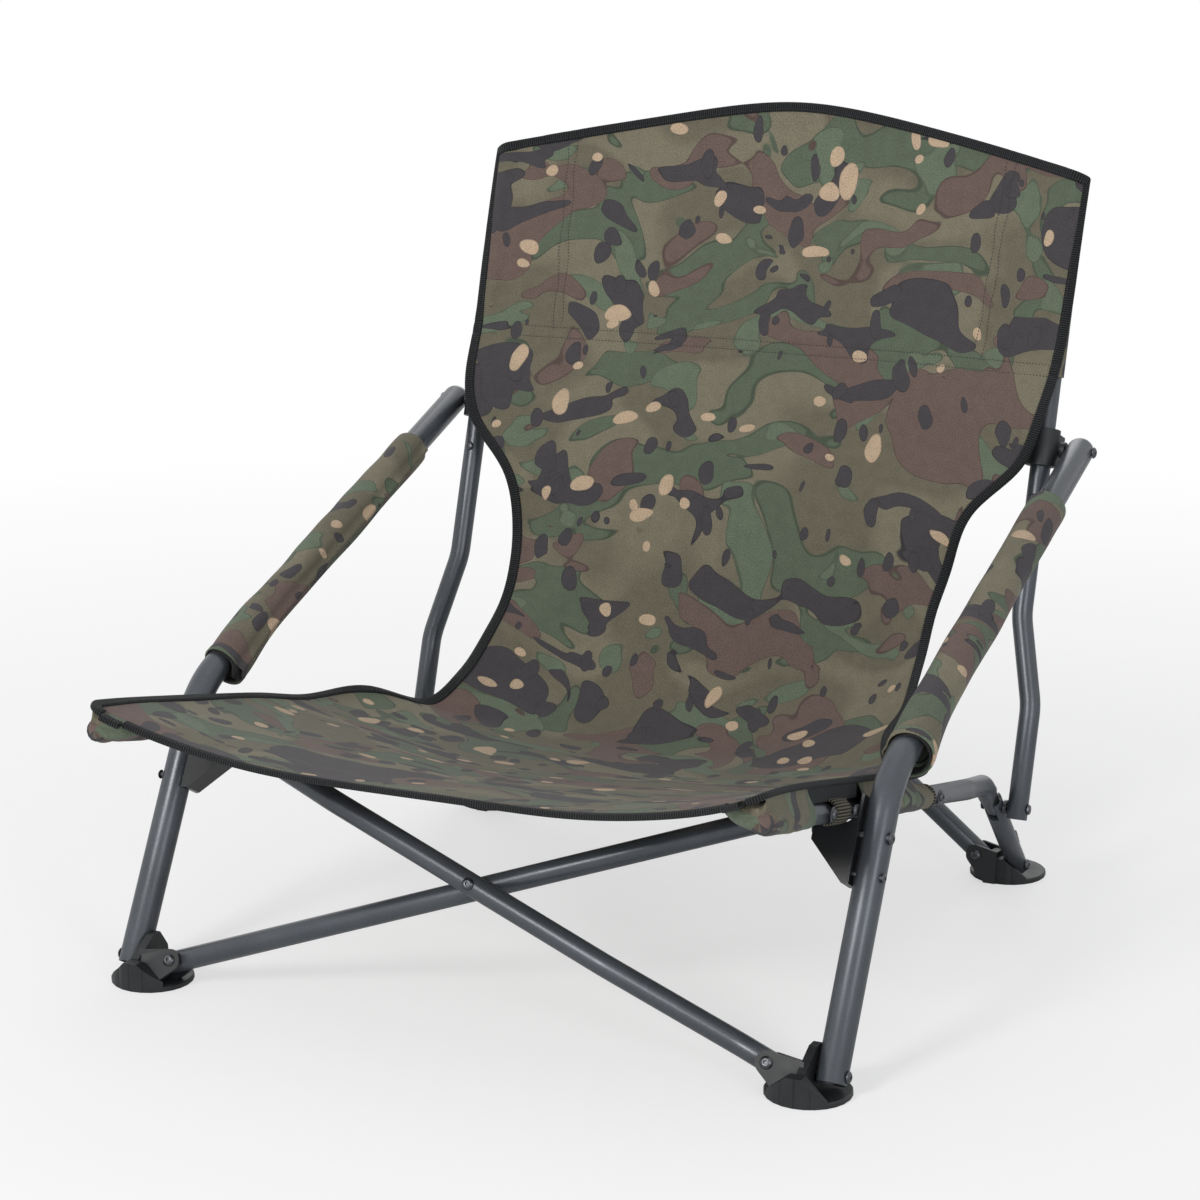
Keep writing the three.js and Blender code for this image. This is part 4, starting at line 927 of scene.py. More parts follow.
FRONT_CORNER, TOP_CORNER = 17.0, 13.0
SEAT_SPLIT, BACK_SPLIT = 262.0, 250.0
# The back's edges turn rearwards from this distance from the middle, over this width; the top's peak has this
# roundness and reaches this far down; the cloth is pushed off the uprights this softly
TURN_FROM, TURN_WIDE, PEAK_SOFT, PEAK_LONG, PUSH_SOFT = 282, 16, 0.05, 90, 0.7


def second_derivatives(knots, values):
    """Second derivatives of the natural cubic spline through values at knots."""
    h = np.diff(knots)
    count = len(knots)
    matrix = np.eye(count)
    right = np.zeros((count, values.shape[1]))
    inner = np.arange(1, count - 1)
    matrix[inner, inner - 1], matrix[inner, inner], matrix[inner, inner + 1] = h[:-1], 2 * (h[:-1] + h[1:]), h[1:]
    slope = np.diff(values, axis=0) / h[:, None]
    right[inner] = 6 * np.diff(slope, axis=0)
    return np.linalg.solve(matrix, right)


def spline(knots, values, bends, at):
    """The natural cubic spline at given places."""
    at = np.asarray(at, float)
    i = np.clip(np.searchsorted(knots, at) - 1, 0, len(knots) - 2)
    h = knots[i + 1] - knots[i]
    a, b = ((knots[i + 1] - at) / h)[..., None], ((at - knots[i]) / h)[..., None]
    h = h[..., None]
    return a * values[i] + b * values[i + 1] + ((a ** 3 - a) * bends[i] + (b ** 3 - b) * bends[i + 1]) * h ** 2 / 6


def row_steps(first, last):
    """Distances between following rows' points, held by some of their columns."""
    return np.linalg.norm(np.diff(ROWS[:, first:last], axis=0), axis=1)


ROW_AT = np.concatenate([[0], np.cumsum((row_steps(3, 5) + row_steps(0, 3)) / 2)])
ROW_BENDS = second_derivatives(ROW_AT, ROWS)
CREASE, TOP = ROW_AT[CREASE_ROW], ROW_AT[-1]
SEAM_HEIGHT = 471.0
SEAM_AT = float(np.interp(SEAM_HEIGHT, ROWS[CREASE_ROW:, 2], ROW_AT[CREASE_ROW:]))


def row_values(v):
    """Edge place, middle place and power at a distance v along the sling."""
    return spline(ROW_AT, ROWS, ROW_BENDS, np.clip(v, 0, TOP))


def half_width(v):
    """Half the sling's width at a distance v along it."""
    return row_values(v)[..., 0]


def bare_sling(u, v):
    """The sling's middle surface: at share u of the half width the row goes from its middle to its edge by
    |u| ** power. The back's edges turn rearwards round the uprights and stay in front of them, and near the top the
    height falls from a rounded peak along a hyperbola, sqrt(u ** 2 + e), made to run from 0 to 1."""
    row = row_values(v)
    share = np.abs(u) ** row[..., 5]
    past = np.clip((np.abs(u) * row[..., 0] - TURN_FROM) / TURN_WIDE, 0, 1) ** 2
    turned_back = past * np.interp(v, [SEAM_AT, SEAM_AT + 80, TOP], [0, 7, 10])
    least = PEAK_SOFT ** 0.5
    peak = (np.sqrt(u ** 2 + PEAK_SOFT) - least) / ((1 + PEAK_SOFT) ** 0.5 - least)
    near = smooth((v - TOP + PEAK_LONG) / PEAK_LONG)
    y = row[..., 3] + (row[..., 1] - row[..., 3]) * share + turned_back
    z = row[..., 4] + (row[..., 2] - row[..., 4]) * (share + (peak - share) * near) - turned_back * 0.3
    inside = y * BACK_AXIS[1] + z * BACK_AXIS[2] - tube_front(np.abs(u) * row[..., 0], UPRIGHT_CLEAR)
    y = y - np.logaddexp(0, inside / PUSH_SOFT) * PUSH_SOFT * smooth((v - SEAM_AT + 95) / 40)
    return np.stack([u * row[..., 0], y, z], -1)


def tube_front(x, radius):
    """The place along BACK_AXIS of the near side of a circle round an upright, at a distance x from the middle."""
    off = np.abs(x - UPRIGHT_X)
    return UPRIGHT_BACK - np.sqrt(np.clip(radius ** 2 - off ** 2, 0, None)) + 4 * np.clip(off - radius, 0, None)


def sling_normal(u, v):
    """Unit normal on the sitter's side: the cross product of the steps across and along."""
    e, f = 0.004, 2.0
    across = bare_sling(u + e, v) - bare_sling(u - e, v)
    up = bare_sling(u, np.minimum(v + f, TOP)) - bare_sling(u, np.maximum(v - f, 0))
    return unit(np.cross(across, up))


SEAM_DROP, SEAM_STEP = 13.0, 10.5
# Tension folds of the back: side, start from the middle, lean, width, height
BACK_FOLDS = ((1, 215, 0.52, 15, 2.6), (1, 170, 0.34, 11, -2.0), (-1, 200, 0.45, 14, 2.3), (-1, 150, 0.3, 12, -1.8),
              (1, 60, 0.12, 16, 1.6), (-1, 40, 0.05, 18, -1.5))
# Waves across the seat: distance from the front edge, width, height, middle
SEAT_FOLDS = ((70, 14, 1.4, -150), (160, 18, -1.6, 120), (250, 15, 1.5, -60), (330, 16, -1.4, 150))


def seam_line(u, which):
    """Distance along the sling of the back's double seam, lower in the middle than at the edges."""
    return SEAM_AT + 6 - SEAM_DROP * (1 - np.abs(u) ** 1.6) - which * SEAM_STEP


def vertical_seam(v, which):
    """Distance from the middle of a vertical double seam, a little wider at the top."""
    return np.interp(v, [SEAM_AT, TOP], [209, 219]) + 8.0 * which


def bell(distance, width):
    """A bell over a distance from its middle: exp(-(distance / width) ** 2)."""
    return np.exp(-(distance / width) ** 2)


def folds(u, v):
    """How far the cloth stands off its middle surface, in mm: slow waves, tension folds from the lower corners of the
    back, waves across the seat, and grooves with puckers along the double seams."""
    x = u * half_width(v)
    rise = v - CREASE
    back, seat = np.clip((v - CREASE - 20) / 60, 0, 1), np.clip((CREASE - 40 - v) / 60, 0, 1)
    fade = np.clip((1 - np.abs(u)) * 9, 0, 1)
    d = 0.9 * np.sin(x / 47 + v / 85) * np.sin(v / 61 - x / 130) * fade
    for side, start, lean, wide, high in BACK_FOLDS:
        ridge = side * x - start + lean * (rise - 60)
        d = d + high * bell(ridge, wide) * bell(rise - 150, 105) * back * fade
    for at, wide, high, centre in SEAT_FOLDS:
        d = d + high * bell(v - at - 0.06 * x, wide) * bell(x - centre, 110) * seat * fade
    for which in (0, 1):
        off = v - seam_line(u, which)
        d = d - 0.75 * bell(off, 2.4) + 0.4 * bell(off, 8) * np.sin(x / 3.1 + 3 * np.sin(x / 31))
        beside = bell(np.abs(x) - vertical_seam(v, which), 3.0)
        d = d + (0.45 * np.sin(v / 4.1 + 2 * np.sin(v / 23)) - 0.55) * beside * np.clip(off / 6, 0, 1)
    return d


def sling(u, v, lift=0.0):
    """The cloth's own surface: the bare sling moved along its normal by its folds and a lift."""
    u, v = np.broadcast_arrays(np.asarray(u, float), np.asarray(v, float))
    return bare_sling(u, v) + sling_normal(u, v) * (folds(u, v) + lift)[..., None]


def cloth_uv(u, v):
    """Flat places on the cloth in metres: across by x, along by the sling's length."""
    return pairs(u * half_width(v) / 1000, v / 1000)


def corner_drop(u, radius, half):
    """How far a quarter circle at a corner lies inside the straight edge, at a share u of the half width."""
    wide = radius / half
    past = np.clip((np.abs(u) - (1 - wide)) / wide, 0, 1)
    return radius * (1 - np.sqrt(1 - past ** 2))


def front_start(u):
    """Where a column starts behind the seat's front edge."""
    return corner_drop(u, FRONT_CORNER, ROWS[0, 0])


def top_end(u):
    """Where a column ends below the back's top edge."""
    return TOP - corner_drop(u, TOP_CORNER, ROWS[-1, 0])


def level(at):
    """A start or end that is the same for every column."""
    return lambda u: np.full(np.shape(u), at)


def split_grid(start, end, rows, columns, split, part):
    """A grid of (u, v) over one part of the sling: middle lies within split of the middle line, and right and left
    outside it. start and end give a column's first and last v from its u, and rows holds shares between them."""
    t = np.asarray(rows)[:, None]
    if part == "middle":
        s = 2 * packed(columns, (0.06, 0.94), 0.03, 2.0)[None] - 1
        v = start(s * 0.9) + (end(s * 0.9) - start(s * 0.9)) * t
        u = s * np.minimum(1, split / half_width(v))
        return np.broadcast_arrays(u, v)
    s = 1 - (1 - np.linspace(0, 1, columns)[None]) ** 1.5
    edge_share = split / half_width(start(0.0) if part.startswith("seat") else end(0.0))
    guess = edge_share + (1 - edge_share) * s
    v = start(guess) + (end(guess) - start(guess)) * t
    inner = np.minimum(1, split / half_width(v))
    u = inner + (1 - inner) * s
    return (u, v) if part.endswith("right") else (-u[:, ::-1], v[:, ::-1])


def where_width(width, low, high, rising):
    """The v between low and high at which the half width passes a width."""
    v = np.linspace(low, high, 800)
    wide = half_width(v)
    if rising:
        return float(v[np.nonzero((wide[:-1] < width) & (wide[1:] >= width))[0][-1]])
    return float(v[np.nonzero((wide[:-1] >= width) & (wide[1:] < width))[0][0]])


SEAT_STRIP_END = where_width(SEAT_SPLIT + 1.0, 300, CREASE, False)
BACK_STRIP_START = where_width(BACK_SPLIT + 1.0, CREASE + 60, TOP - 150, True)
# How much nearer the two sides come to each other in the fold
FOLDED_SHIFT = 440.0
SEAT_SQUASH = (SEAT_SPLIT, 1 - FOLDED_SHIFT / (2 * SEAT_SPLIT))
BACK_SQUASH = (BACK_SPLIT, 1 - FOLDED_SHIFT / (2 * BACK_SPLIT))


def cloth_thick():
    """The cloth's thickness in millimetres."""
    return bpy.context.scene.chair_sizes.cloth * 1000


def cloth_piece(name, grid, body, flat, rests_on, node, squash=None):
    """A piece of the sling from its grid of (u, v)."""
    u, v = grid
    thick = cloth_thick()
    patches = Patches().skins(sling(u, v, thick / 2), sling(u, v, -thick / 2), cloth_uv(u, v))
    return patches.piece(name, "seat", body, "sling_fabric", 50, node=node, flat=flat, rests_on=rests_on, squash=squash)


# Rail sleeves: the teardrop's circle, the sleeve's own radius and that of its drawn-in ends, and the height of its
# point where it lies on the rail; the depth from which the point sinks and over what length; the flap's reach, the
# nose's length and the cloth's thickness; the rail's lean
SLEEVE_RADIUS, SLEEVE_BODY, SLEEVE_TIGHT, SLEEVE_LOW = 11.0, 10.6, 10.2, 10.8
SINK_FROM, SINK_LONG, FLAP_REACH, NOSE_LONG, SLEEVE_SKIN = 222, 38, 34, 11, 1.1
RAIL_LEAN = math.radians(12.5)


def sleeve_section(height, lean, count):
    """A closed teardrop round the rail: a circle whose top is drawn up to a point, as (a, b) pairs with b upwards."""
    angle = np.linspace(0, 2 * math.pi, count, endpoint=False)
    a, b = SLEEVE_RADIUS * np.sin(angle), -SLEEVE_RADIUS * np.cos(angle)
    pull = np.clip(b / SLEEVE_RADIUS, 0, 1) ** 3.2
    return np.stack([a * (1 - 0.93 * pull) + lean * pull, b + pull * (height - SLEEVE_RADIUS)], -1)


def seat_distance(depth, column):
    """The distance along the sling at which the seat's edge (column 1) or middle (column 3) has a depth."""
    fine = np.linspace(0, CREASE - 8, 600)
    return np.interp(depth, row_values(fine)[:, column], fine)


def under_cloth(points):
    """Points brought below the seat's cloth where they stand in it: height held to the cloth's height less 1.3 mm."""
    v = seat_distance(points[..., 1], 3)
    share = np.abs(points[..., 0]) / half_width(v)
    limit = np.where(share < 0.985, bare_sling(np.minimum(share, 0.985), v)[..., 2] - 1.3, 1e3)
    return np.concatenate([points[..., :2], np.minimum(points[..., 2], limit)[..., None]], -1)


def rail_sleeve(y_from, y_to, waves, nose):
    """The fabric round a rail: teardrop sections whose point rises to the bound edge, with small waves round and along
    it, drawn in at the ends. Past SINK_FROM the point sinks to the rail. With a nose the front end closes along an
    ellipse and its inner side reaches to the middle, under the cloth, as the flap sewn into the front edge."""
    steps, count = 110, 60
    share = np.linspace(0, 1, steps) ** (1.7 if nose else 1.0)
    y = y_from + (y_to - y_from) * share
    share = share[:, None]
    line = rail_at(y)
    v = seat_distance(y, 1)
    row = row_values(v)
    loose = 1 - smooth((y - SINK_FROM) / SINK_LONG)
    height = np.maximum((row[:, 2] - line[:, 2]) * math.cos(RAIL_LEAN) - 1.0, 12)
    height = SLEEVE_LOW + (height - SLEEVE_LOW) * loose
    lean = (row[:, 0] - line[:, 0] - 1.2) * loose
    t = np.linspace(0, 2 * math.pi, count, endpoint=False)
    round_it = np.sin(3 * t[None] + 9 * share + y_from) * 0.5 + np.sin(5 * t[None] - 23 * share) * 0.35
    body = SLEEVE_BODY + waves * (round_it + np.sin(31 * share + y_from) * 0.3)
    tight = (np.exp((y - y_to) / 12) + (0 if nose else 1) * np.exp((y_from - y) / 10))[:, None]
    body = body * (1 - tight) + SLEEVE_TIGHT * tight
    sections = np.stack([sleeve_section(h, l, count) for h, l in zip(height, lean)])
    keep = np.clip(sections[..., 1:] / height[:, None, None], 0, 1)
    sections = sections * ((body / SLEEVE_RADIUS)[..., None] * (1 - keep) + keep)
    if nose:
        inner = np.clip(-sections[..., 0] / 11, 0, 1) ** 1.4 * bell(y - y_from, FLAP_REACH)[:, None]
        sections = sections + np.stack([-FLAP_REACH * inner, 11 * inner + 0.8 * np.sin(9 * inner)], -1)
        ease = quarter((y - y_from) / NOSE_LONG, 0.0004)[:, None]
        over = np.clip(sections[..., 1] / 20, 0, 1)
        sections = sections * (ease + (1 - ease) * over * 0.8)[..., None]
    rings = line[:, None] + sections[..., :1] * ACROSS + sections[..., 1:] * np.cross(ACROSS, RAIL_AXIS)
    if nose:
        rings = under_cloth(rings)
    uv = pairs(0.4 + np.arange(count) * 0.0016, v[:, None] / 1000)
    off = rings - line[:, None]
    inner = line[:, None] + off * (1 - SLEEVE_SKIN / np.maximum(np.linalg.norm(off, axis=-1, keepdims=True), 4))
    return rings, inner, uv


def flat_place(points):
    """Points as distance from the middle, place square to the uprights and height along them."""
    return points[..., 0], points @ BACK_AXIS, points @ BACK_UP


def solid_place(x, back, height):
    """The inverse of flat_place."""
    return np.stack([x, back * BACK_AXIS[1] + height * BACK_UP[1], back * BACK_AXIS[2] + height * BACK_UP[2]], -1)


POCKET_SEAM, POCKET_GAP = 222.0, 0.6


def turned(points, sign):
    """Points with their x counted outwards on one side, sign being 1 on the right and -1 on the left."""
    return points * np.array([sign, 1, 1])


def channel_run(v, sign, skin):
    """The tight line round an upright from the seam to the bound edge, at distances v on one side: both ends, and the
    angles at which it meets and leaves the circle, by the tangents from the ends."""
    wide = half_width(v)
    radius = STRUT_RADIUS + POCKET_GAP + skin
    seam = flat_place(turned(sling(sign * POCKET_SEAM / wide, v, -POCKET_GAP - skin), sign))
    edge = flat_place(turned(sling(sign * (1 - 1.5 / wide), v, -0.8), sign))
    turn = []
    for (x, back, _), way in ((seam, -1), (edge, 1)):
        far = np.hypot(x - UPRIGHT_X, back - UPRIGHT_BACK)
        angle = np.arctan2(back - UPRIGHT_BACK, x - UPRIGHT_X)
        angle = np.where(angle < -math.pi / 2, angle + 2 * math.pi, angle)
        turn.append(angle + way * np.arccos(np.minimum(1, radius / far)))
    return seam, edge, turn, radius


def channel_skin(v, sign, skin):
    """One skin of the channel from the split to the bound edge: a straight run, the arc round the tube, a straight run.
    Over the last 8 mm below the top edge it goes to the front cloth."""
    (xs, bs, hs), (xe, be, he), (first, last), radius = channel_run(v, sign, skin)
    turn = first[:, None] + (last - first)[:, None] * np.linspace(0, 1, 22)
    arc_x, arc_back = UPRIGHT_X + radius * np.cos(turn), UPRIGHT_BACK + radius * np.sin(turn)
    share = (BACK_SPLIT - xs) / (arc_x[:, 0] - xs)
    run = share[:, None] + (1 - share)[:, None] * np.linspace(0, 1, 10)[:-1]
    rest = np.linspace(0, 1, 6)[1:]
    x, back = (np.concatenate([start[:, None] + (arc[:, :1] - start[:, None]) * run, arc,
                               arc[:, -1:] + (end[:, None] - arc[:, -1:]) * rest], 1)
               for start, arc, end in ((xs, arc_x, xe), (bs, arc_back, be)))
    step = np.hypot(np.diff(x, axis=1), np.diff(back, axis=1))
    length = np.concatenate([np.zeros((len(v), 1)), np.cumsum(step, 1)], 1)
    points = solid_place(x, back, hs[:, None] + (he - hs)[:, None] * length / length[:, -1:])
    uv = pairs((BACK_SPLIT + length) * sign / 1000, v[:, None] / 1000)
    return to_front(points, sign, v[:, None], x, skin), uv


def to_front(points, sign, v, x, skin):
    """Points of the rear layer led to the front cloth's rear face near the top edge."""
    wide = half_width(v)
    face = sling(sign * np.minimum(np.abs(x), wide - 1) / wide, np.broadcast_to(v, x.shape), -0.7 - 0.1 * skin)
    return points + (turned(face, sign) - points) * smooth((v - TOP + 9) / 8)[..., None]


def rear_rows(low, share):
    """Distances from low to just below the top edge, closer near it."""
    return low + (TOP - 1.5 - low) * (1 - (1 - share) ** 1.4)


# Sleeves: name, first and last depth, height of the waves, whether the nose is closed
SLEEVES = (("rail_pocket", -86.0, 3.0, 0.6, True), ("rail_sleeve_rear", 114.0, 271.0, 0.45, False))
# Hems: depth and width
CUFFS = ((48.0, 29.0), (271.2, 5.0))
CUFF_SIDES = 48
# A painted shadow: a dark tape strip from the bound edge down to the rail stands for the shade under the edge; its
# first and last depth, and half its thickness
SHADOW_STRIP_FROM, SHADOW_STRIP_TO, SHADOW_STRIP_HALF = 1.0, 113.0, 0.5


class CHAIR_OT_sling(bpy.types.Operator):
    """Build the seat and back cloth, the rail sleeves, pockets and the channels of the uprights"""

    bl_idname = "chair.sling"
    bl_label = "Sling"

    def execute(self, context):
        grid = split_grid(front_start, level(CREASE), np.linspace(0, 1, 140), 150, SEAT_SPLIT, "middle")
        cloth_piece("seat_cloth_middle", grid, "rail_left", (0.56, 0.56), ["seat_rail_left", "seat_rail_right"],
                    "seat_sling", SEAT_SQUASH)
        rows = packed(210, ((SEAM_AT - 8 - CREASE) / (TOP - CREASE),), 0.03, 4.0)
        grid = split_grid(level(CREASE), top_end, rows, 170, BACK_SPLIT, "middle")
        cloth_piece("back_cloth_middle", grid, "upright_left", (0.54, 0.62), ["upright_left", "upright_right"],
                    "back_sling", BACK_SQUASH)
        for side in SIDES:
            grid = split_grid(front_start, level(SEAT_STRIP_END), np.linspace(0, 1, 130), 20, SEAT_SPLIT,
                              f"seat_{side}")
            cloth_piece(f"seat_cloth_{side}", grid, f"rail_{side}", (0.034, 0.42), [f"seat_rail_{side}"], "seat_sling")
            grid = split_grid(level(BACK_STRIP_START), top_end, np.linspace(0, 1, 110), 20, BACK_SPLIT, f"back_{side}")
            cloth_piece(f"back_cloth_{side}", grid, f"upright_{side}", (0.04, 0.29), [f"upright_{side}"], "back_sling")
            self.sleeves(side)
            self.cuffs(side)
            # The dark strip that paints the shadow under the seat's edge
            self.shadow_strip(side)
            self.channel(side)
        self.rear_layer()
        return {"FINISHED"}

    def sleeves(self, side):
        """The closed pocket on the rail's front end and the sleeve behind the leg."""
        for name, y_from, y_to, waves, nose in SLEEVES:
            rings, inner, uv = rail_sleeve(y_from, y_to, waves, nose)
            inner = inner[30:] if nose else inner
            rings, inner = on_side(rings, side), on_side(inner, side)
            patches = Patches().grid(place(rings), True, uv)
            patches.grid(place(inner[::-1]), True, uv[-len(inner):][::-1])
            patches.grid(place(np.stack([rings[-1], inner[-1]])), True, np.stack([uv[-1], uv[-1]]))
            if nose:
                for ring in (rings[:1], inner[:1]):
                    tip = np.repeat(ring.mean(1, keepdims=True), rings.shape[1], 1)
                    patches.grid(place(np.concatenate([tip, ring])), True, np.repeat(uv[:1], 2, 0))
            else:
                patches.grid(place(np.stack([inner[0], rings[0]])), True, np.stack([uv[0], uv[0]]))
            patches.piece(f"{name}_{side}", "seat", f"rail_{side}", "sling_fabric", 60,
                          flat=(0.09, (y_to - y_from) / 1000), rests_on=[f"seat_rail_{side}"])

    def cuffs(self, side):
        """Hems of the sleeves: ribbed bands round the rail, turned from rounded rectangles."""
        patches = Patches()
        for y, wide in CUFFS:
            profile = np.array([(8.8, 0.1), (10.0, 0.0), (10.6, 0.6), (10.8, wide / 2), (10.6, wide - 0.6),
                                (10.0, wide), (8.8, wide - 0.1), (8.8, 0.1)])
            rings = lathe(profile, rail_at(y), RAIL_AXIS, CUFF_SIDES)
            uvs = pairs(np.arange(CUFF_SIDES) * 0.0011, profile[:, 1][:, None] / 1000)
            patches.grid(place(on_side(rings, side)), True, uvs)
        patches.piece(f"rail_cuffs_{side}", "cuff", f"rail_{side}", "sling_fabric", 60)

    def shadow_strip(self, side):
        """A painted shadow: a dark strip of edge tape between the bound edge and the rail, from the pocket to the rear
        sleeve,
        standing for the shade under the edge: straight lines from the rail's top to the edge."""
        y = np.linspace(SHADOW_STRIP_FROM, SHADOW_STRIP_TO, 60)
        edge = row_values(seat_distance(y, 1))[:, :3] - np.array([1.0, 0.0, 1.0])
        low = rail_at(y) + np.array([0.0, 0.0, 8.8])
        share = np.linspace(0, 1, 12)[:, None]
        middle = low[:, None] + (edge - low)[:, None] * share
        uv = pairs(y[:, None] / 1000, 0.014 * share[:, 0])
        inner, outer = (on_side(middle + ACROSS * off, side) for off in (-SHADOW_STRIP_HALF, SHADOW_STRIP_HALF))
        self.layer(f"rail_web_{side}", inner, outer, uv, f"rail_{side}", (0.014, 0.115), [f"seat_rail_{side}"], "tape")

    def channel(self, side):
        """The pocket cloth round the back of an upright, from the split to the bound edge."""
        sign = 1 if side == "right" else -1
        v = rear_rows(SEAM_AT - 4, np.linspace(0, 1, 80))
        (inner, uv), (outer, _) = (channel_skin(v, sign, skin) for skin in (0.0, cloth_thick()))
        self.layer(f"back_channel_{side}", turned(inner, sign), turned(outer, sign), uv, f"upright_{side}",
                   (0.055, 0.175), [f"upright_{side}"])

    def layer(self, name, inner, outer, uv, body, flat, rests_on, look="seat", squash=None):
        """A piece of the rear layer from its two skins and the rims between them."""
        Patches().skins(outer, inner, uv).piece(name, look, body, "sling_fabric", 55, flat=flat, rests_on=rests_on,
                                                squash=squash)

    def rear_layer(self):
        """The rear layer of the back between the two channels, from the double seam to the top edge: behind the cloth
        up to the vertical seams, and from there on the straight run to the tube."""
        x = np.broadcast_to(BACK_SPLIT * (2 * packed(130, (0.056, 0.944), 0.02, 3.0) - 1), (80, 130))
        v = rear_rows(seam_line(x / 290, 1) - 3, np.linspace(0, 1, 80)[:, None])
        skins = []
        for skin in (0.0, cloth_thick()):
            points = sling(x / half_width(v), v, -POCKET_GAP - skin)
            for sign in (1, -1):
                (xs, bs, hs), _, (first, _), radius = channel_run(v, sign, skin)
                share = (sign * x - xs) / (UPRIGHT_X + radius * np.cos(first) - xs)
                run = solid_place(sign * x, bs + (UPRIGHT_BACK + radius * np.sin(first) - bs) * share, hs)
                run = turned(to_front(run, sign, v, sign * x, skin), sign)
                points = np.where((sign * x > POCKET_SEAM)[..., None], run, points)
            skins.append(points)
        self.layer("back_pocket_rear", *skins, cloth_uv(x / half_width(v), v), "upright_left", (0.51, 0.22),
                   ["upright_left", "upright_right"], squash=BACK_SQUASH)


# Binding


def outline_parts():
    """The sling's outline on the right as runs of (u, v): front edge, corner and side of the seat, then side, corner
    and top edge of the back."""
    wide, top_wide = FRONT_CORNER / ROWS[0, 0], TOP_CORNER / ROWS[-1, 0]
    split_front, split_top = SEAT_SPLIT / ROWS[0, 0], BACK_SPLIT / ROWS[-1, 0]
    turn = np.linspace(0, math.pi / 2, 24)[1:-1]
    line, join = np.linspace, np.concatenate
    return {
        "seat_binding_middle": (line(-split_front, split_front, 300), np.zeros(300)),
        "seat_binding": (
            join([line(split_front, 1 - wide, 10), 1 - wide + wide * np.sin(turn), np.ones(260)]),
            join([np.zeros(10), FRONT_CORNER * (1 - np.cos(turn)), line(FRONT_CORNER, SEAT_STRIP_END, 260)]),
        ),
        "seat_binding_rear": (np.ones(110), line(SEAT_STRIP_END, CREASE, 110)),
        "back_binding_lower": (np.ones(150), line(CREASE, BACK_STRIP_START, 150)),
        "back_binding": (
            join([np.ones(150), 1 - top_wide + top_wide * np.cos(turn), line(1 - top_wide, split_top, 12)]),
            join([line(BACK_STRIP_START, TOP - TOP_CORNER, 150), TOP - TOP_CORNER * (1 - np.sin(turn)),
                  np.full(12, TOP)]),
        ),
        "back_binding_middle": (line(split_top, -split_top, 300), np.full(300, TOP)),
    }


def binding_section(wide, thick):
    """The folded tape's section: a flat loop of width wide and height thick with round ends, slightly full."""
    angle = even_turns(20)
    return pairs(powered(np.cos(angle), 0.55) * wide / 2, powered(np.sin(angle), 0.75) * thick / 2)


# How far the tape reaches past the cloth's edge, and how far its stitches lie from its inner edge
TAPE_PAST, TAPE_HEM = 1.3, 3.4


class CHAIR_OT_binding(bpy.types.Operator):
    """Build the ribbed tape that binds the sling's edges"""

    bl_idname = "chair.binding"
    bl_label = "Edge binding"

    def execute(self, context):
        for name, (u, v) in outline_parts().items():
            body, squash = ("rail", SEAT_SQUASH) if name.startswith("seat") else ("upright", BACK_SQUASH)
            if name.endswith("middle"):
                self.tape(name, u, v, f"{body}_left", squash, "right")
                continue
            for side in SIDES:
                if name.endswith("binding"):
                    self.tape(f"{name}_{side}", u, v, f"{body}_{side}", None, side)
                else:
                    self.tape(f"{name}_{side}", u, v, f"{body}_left", squash, side)
        return {"FINISHED"}

    def tape(self, name, u, v, body, squash, side):
        """One length of tape: its section carried along the outline, its width in the cloth's plane."""
        sizes = bpy.context.scene.chair_sizes
        wide, thick = sizes.binding_wide * 1000, sizes.binding_thick * 1000
        line = sling(u, v)
        tangents = directions(line)
        inward = unit(np.cross(sling_normal(u, v), tangents))
        middle = sling(0 * u, np.clip(v, 40, TOP - 60))
        inward = inward * np.sign(((middle - line) * inward).sum(-1, keepdims=True))
        normal = unit(np.cross(tangents, inward))
        wobble = 0.35 * np.sin(along(line) / 23.0)[:, None, None]
        section = binding_section(wide, thick)[None] * (1 + 0.03 * wobble)
        rings = (line[:, None] + (section[..., :1] + (wide / 2 - TAPE_PAST)) * inward[:, None]
                 + (section[..., 1:] + wobble * 0.6) * normal[:, None])
        tips = rings.mean(1, keepdims=True).repeat(rings.shape[1], 1)
        rings = np.concatenate([tips[:1], rings, tips[-1:]])
        distance = np.concatenate([[0], along(line), [along(line)[-1]]]) / 1000
        uv = pairs(distance[:, None], np.arange(rings.shape[1]) * 0.001)
        patches = Patches().grid(place(on_side(rings, side)), True, uv)
        patches.piece(name, "tape", body, "sling_fabric", 70, squash=squash)
        sewn = Patches()
        for face in (1, -1):
            thread = line + inward * (wide - TAPE_HEM) + normal * face * (thick / 2 - 0.1)
            stitches(sewn, thread, normal * face, 0.3, side)
        sewn.piece(f"{name}_stitching", "thread", body, "sling_fabric", 70, 0.0, squash=squash)


# Stitching


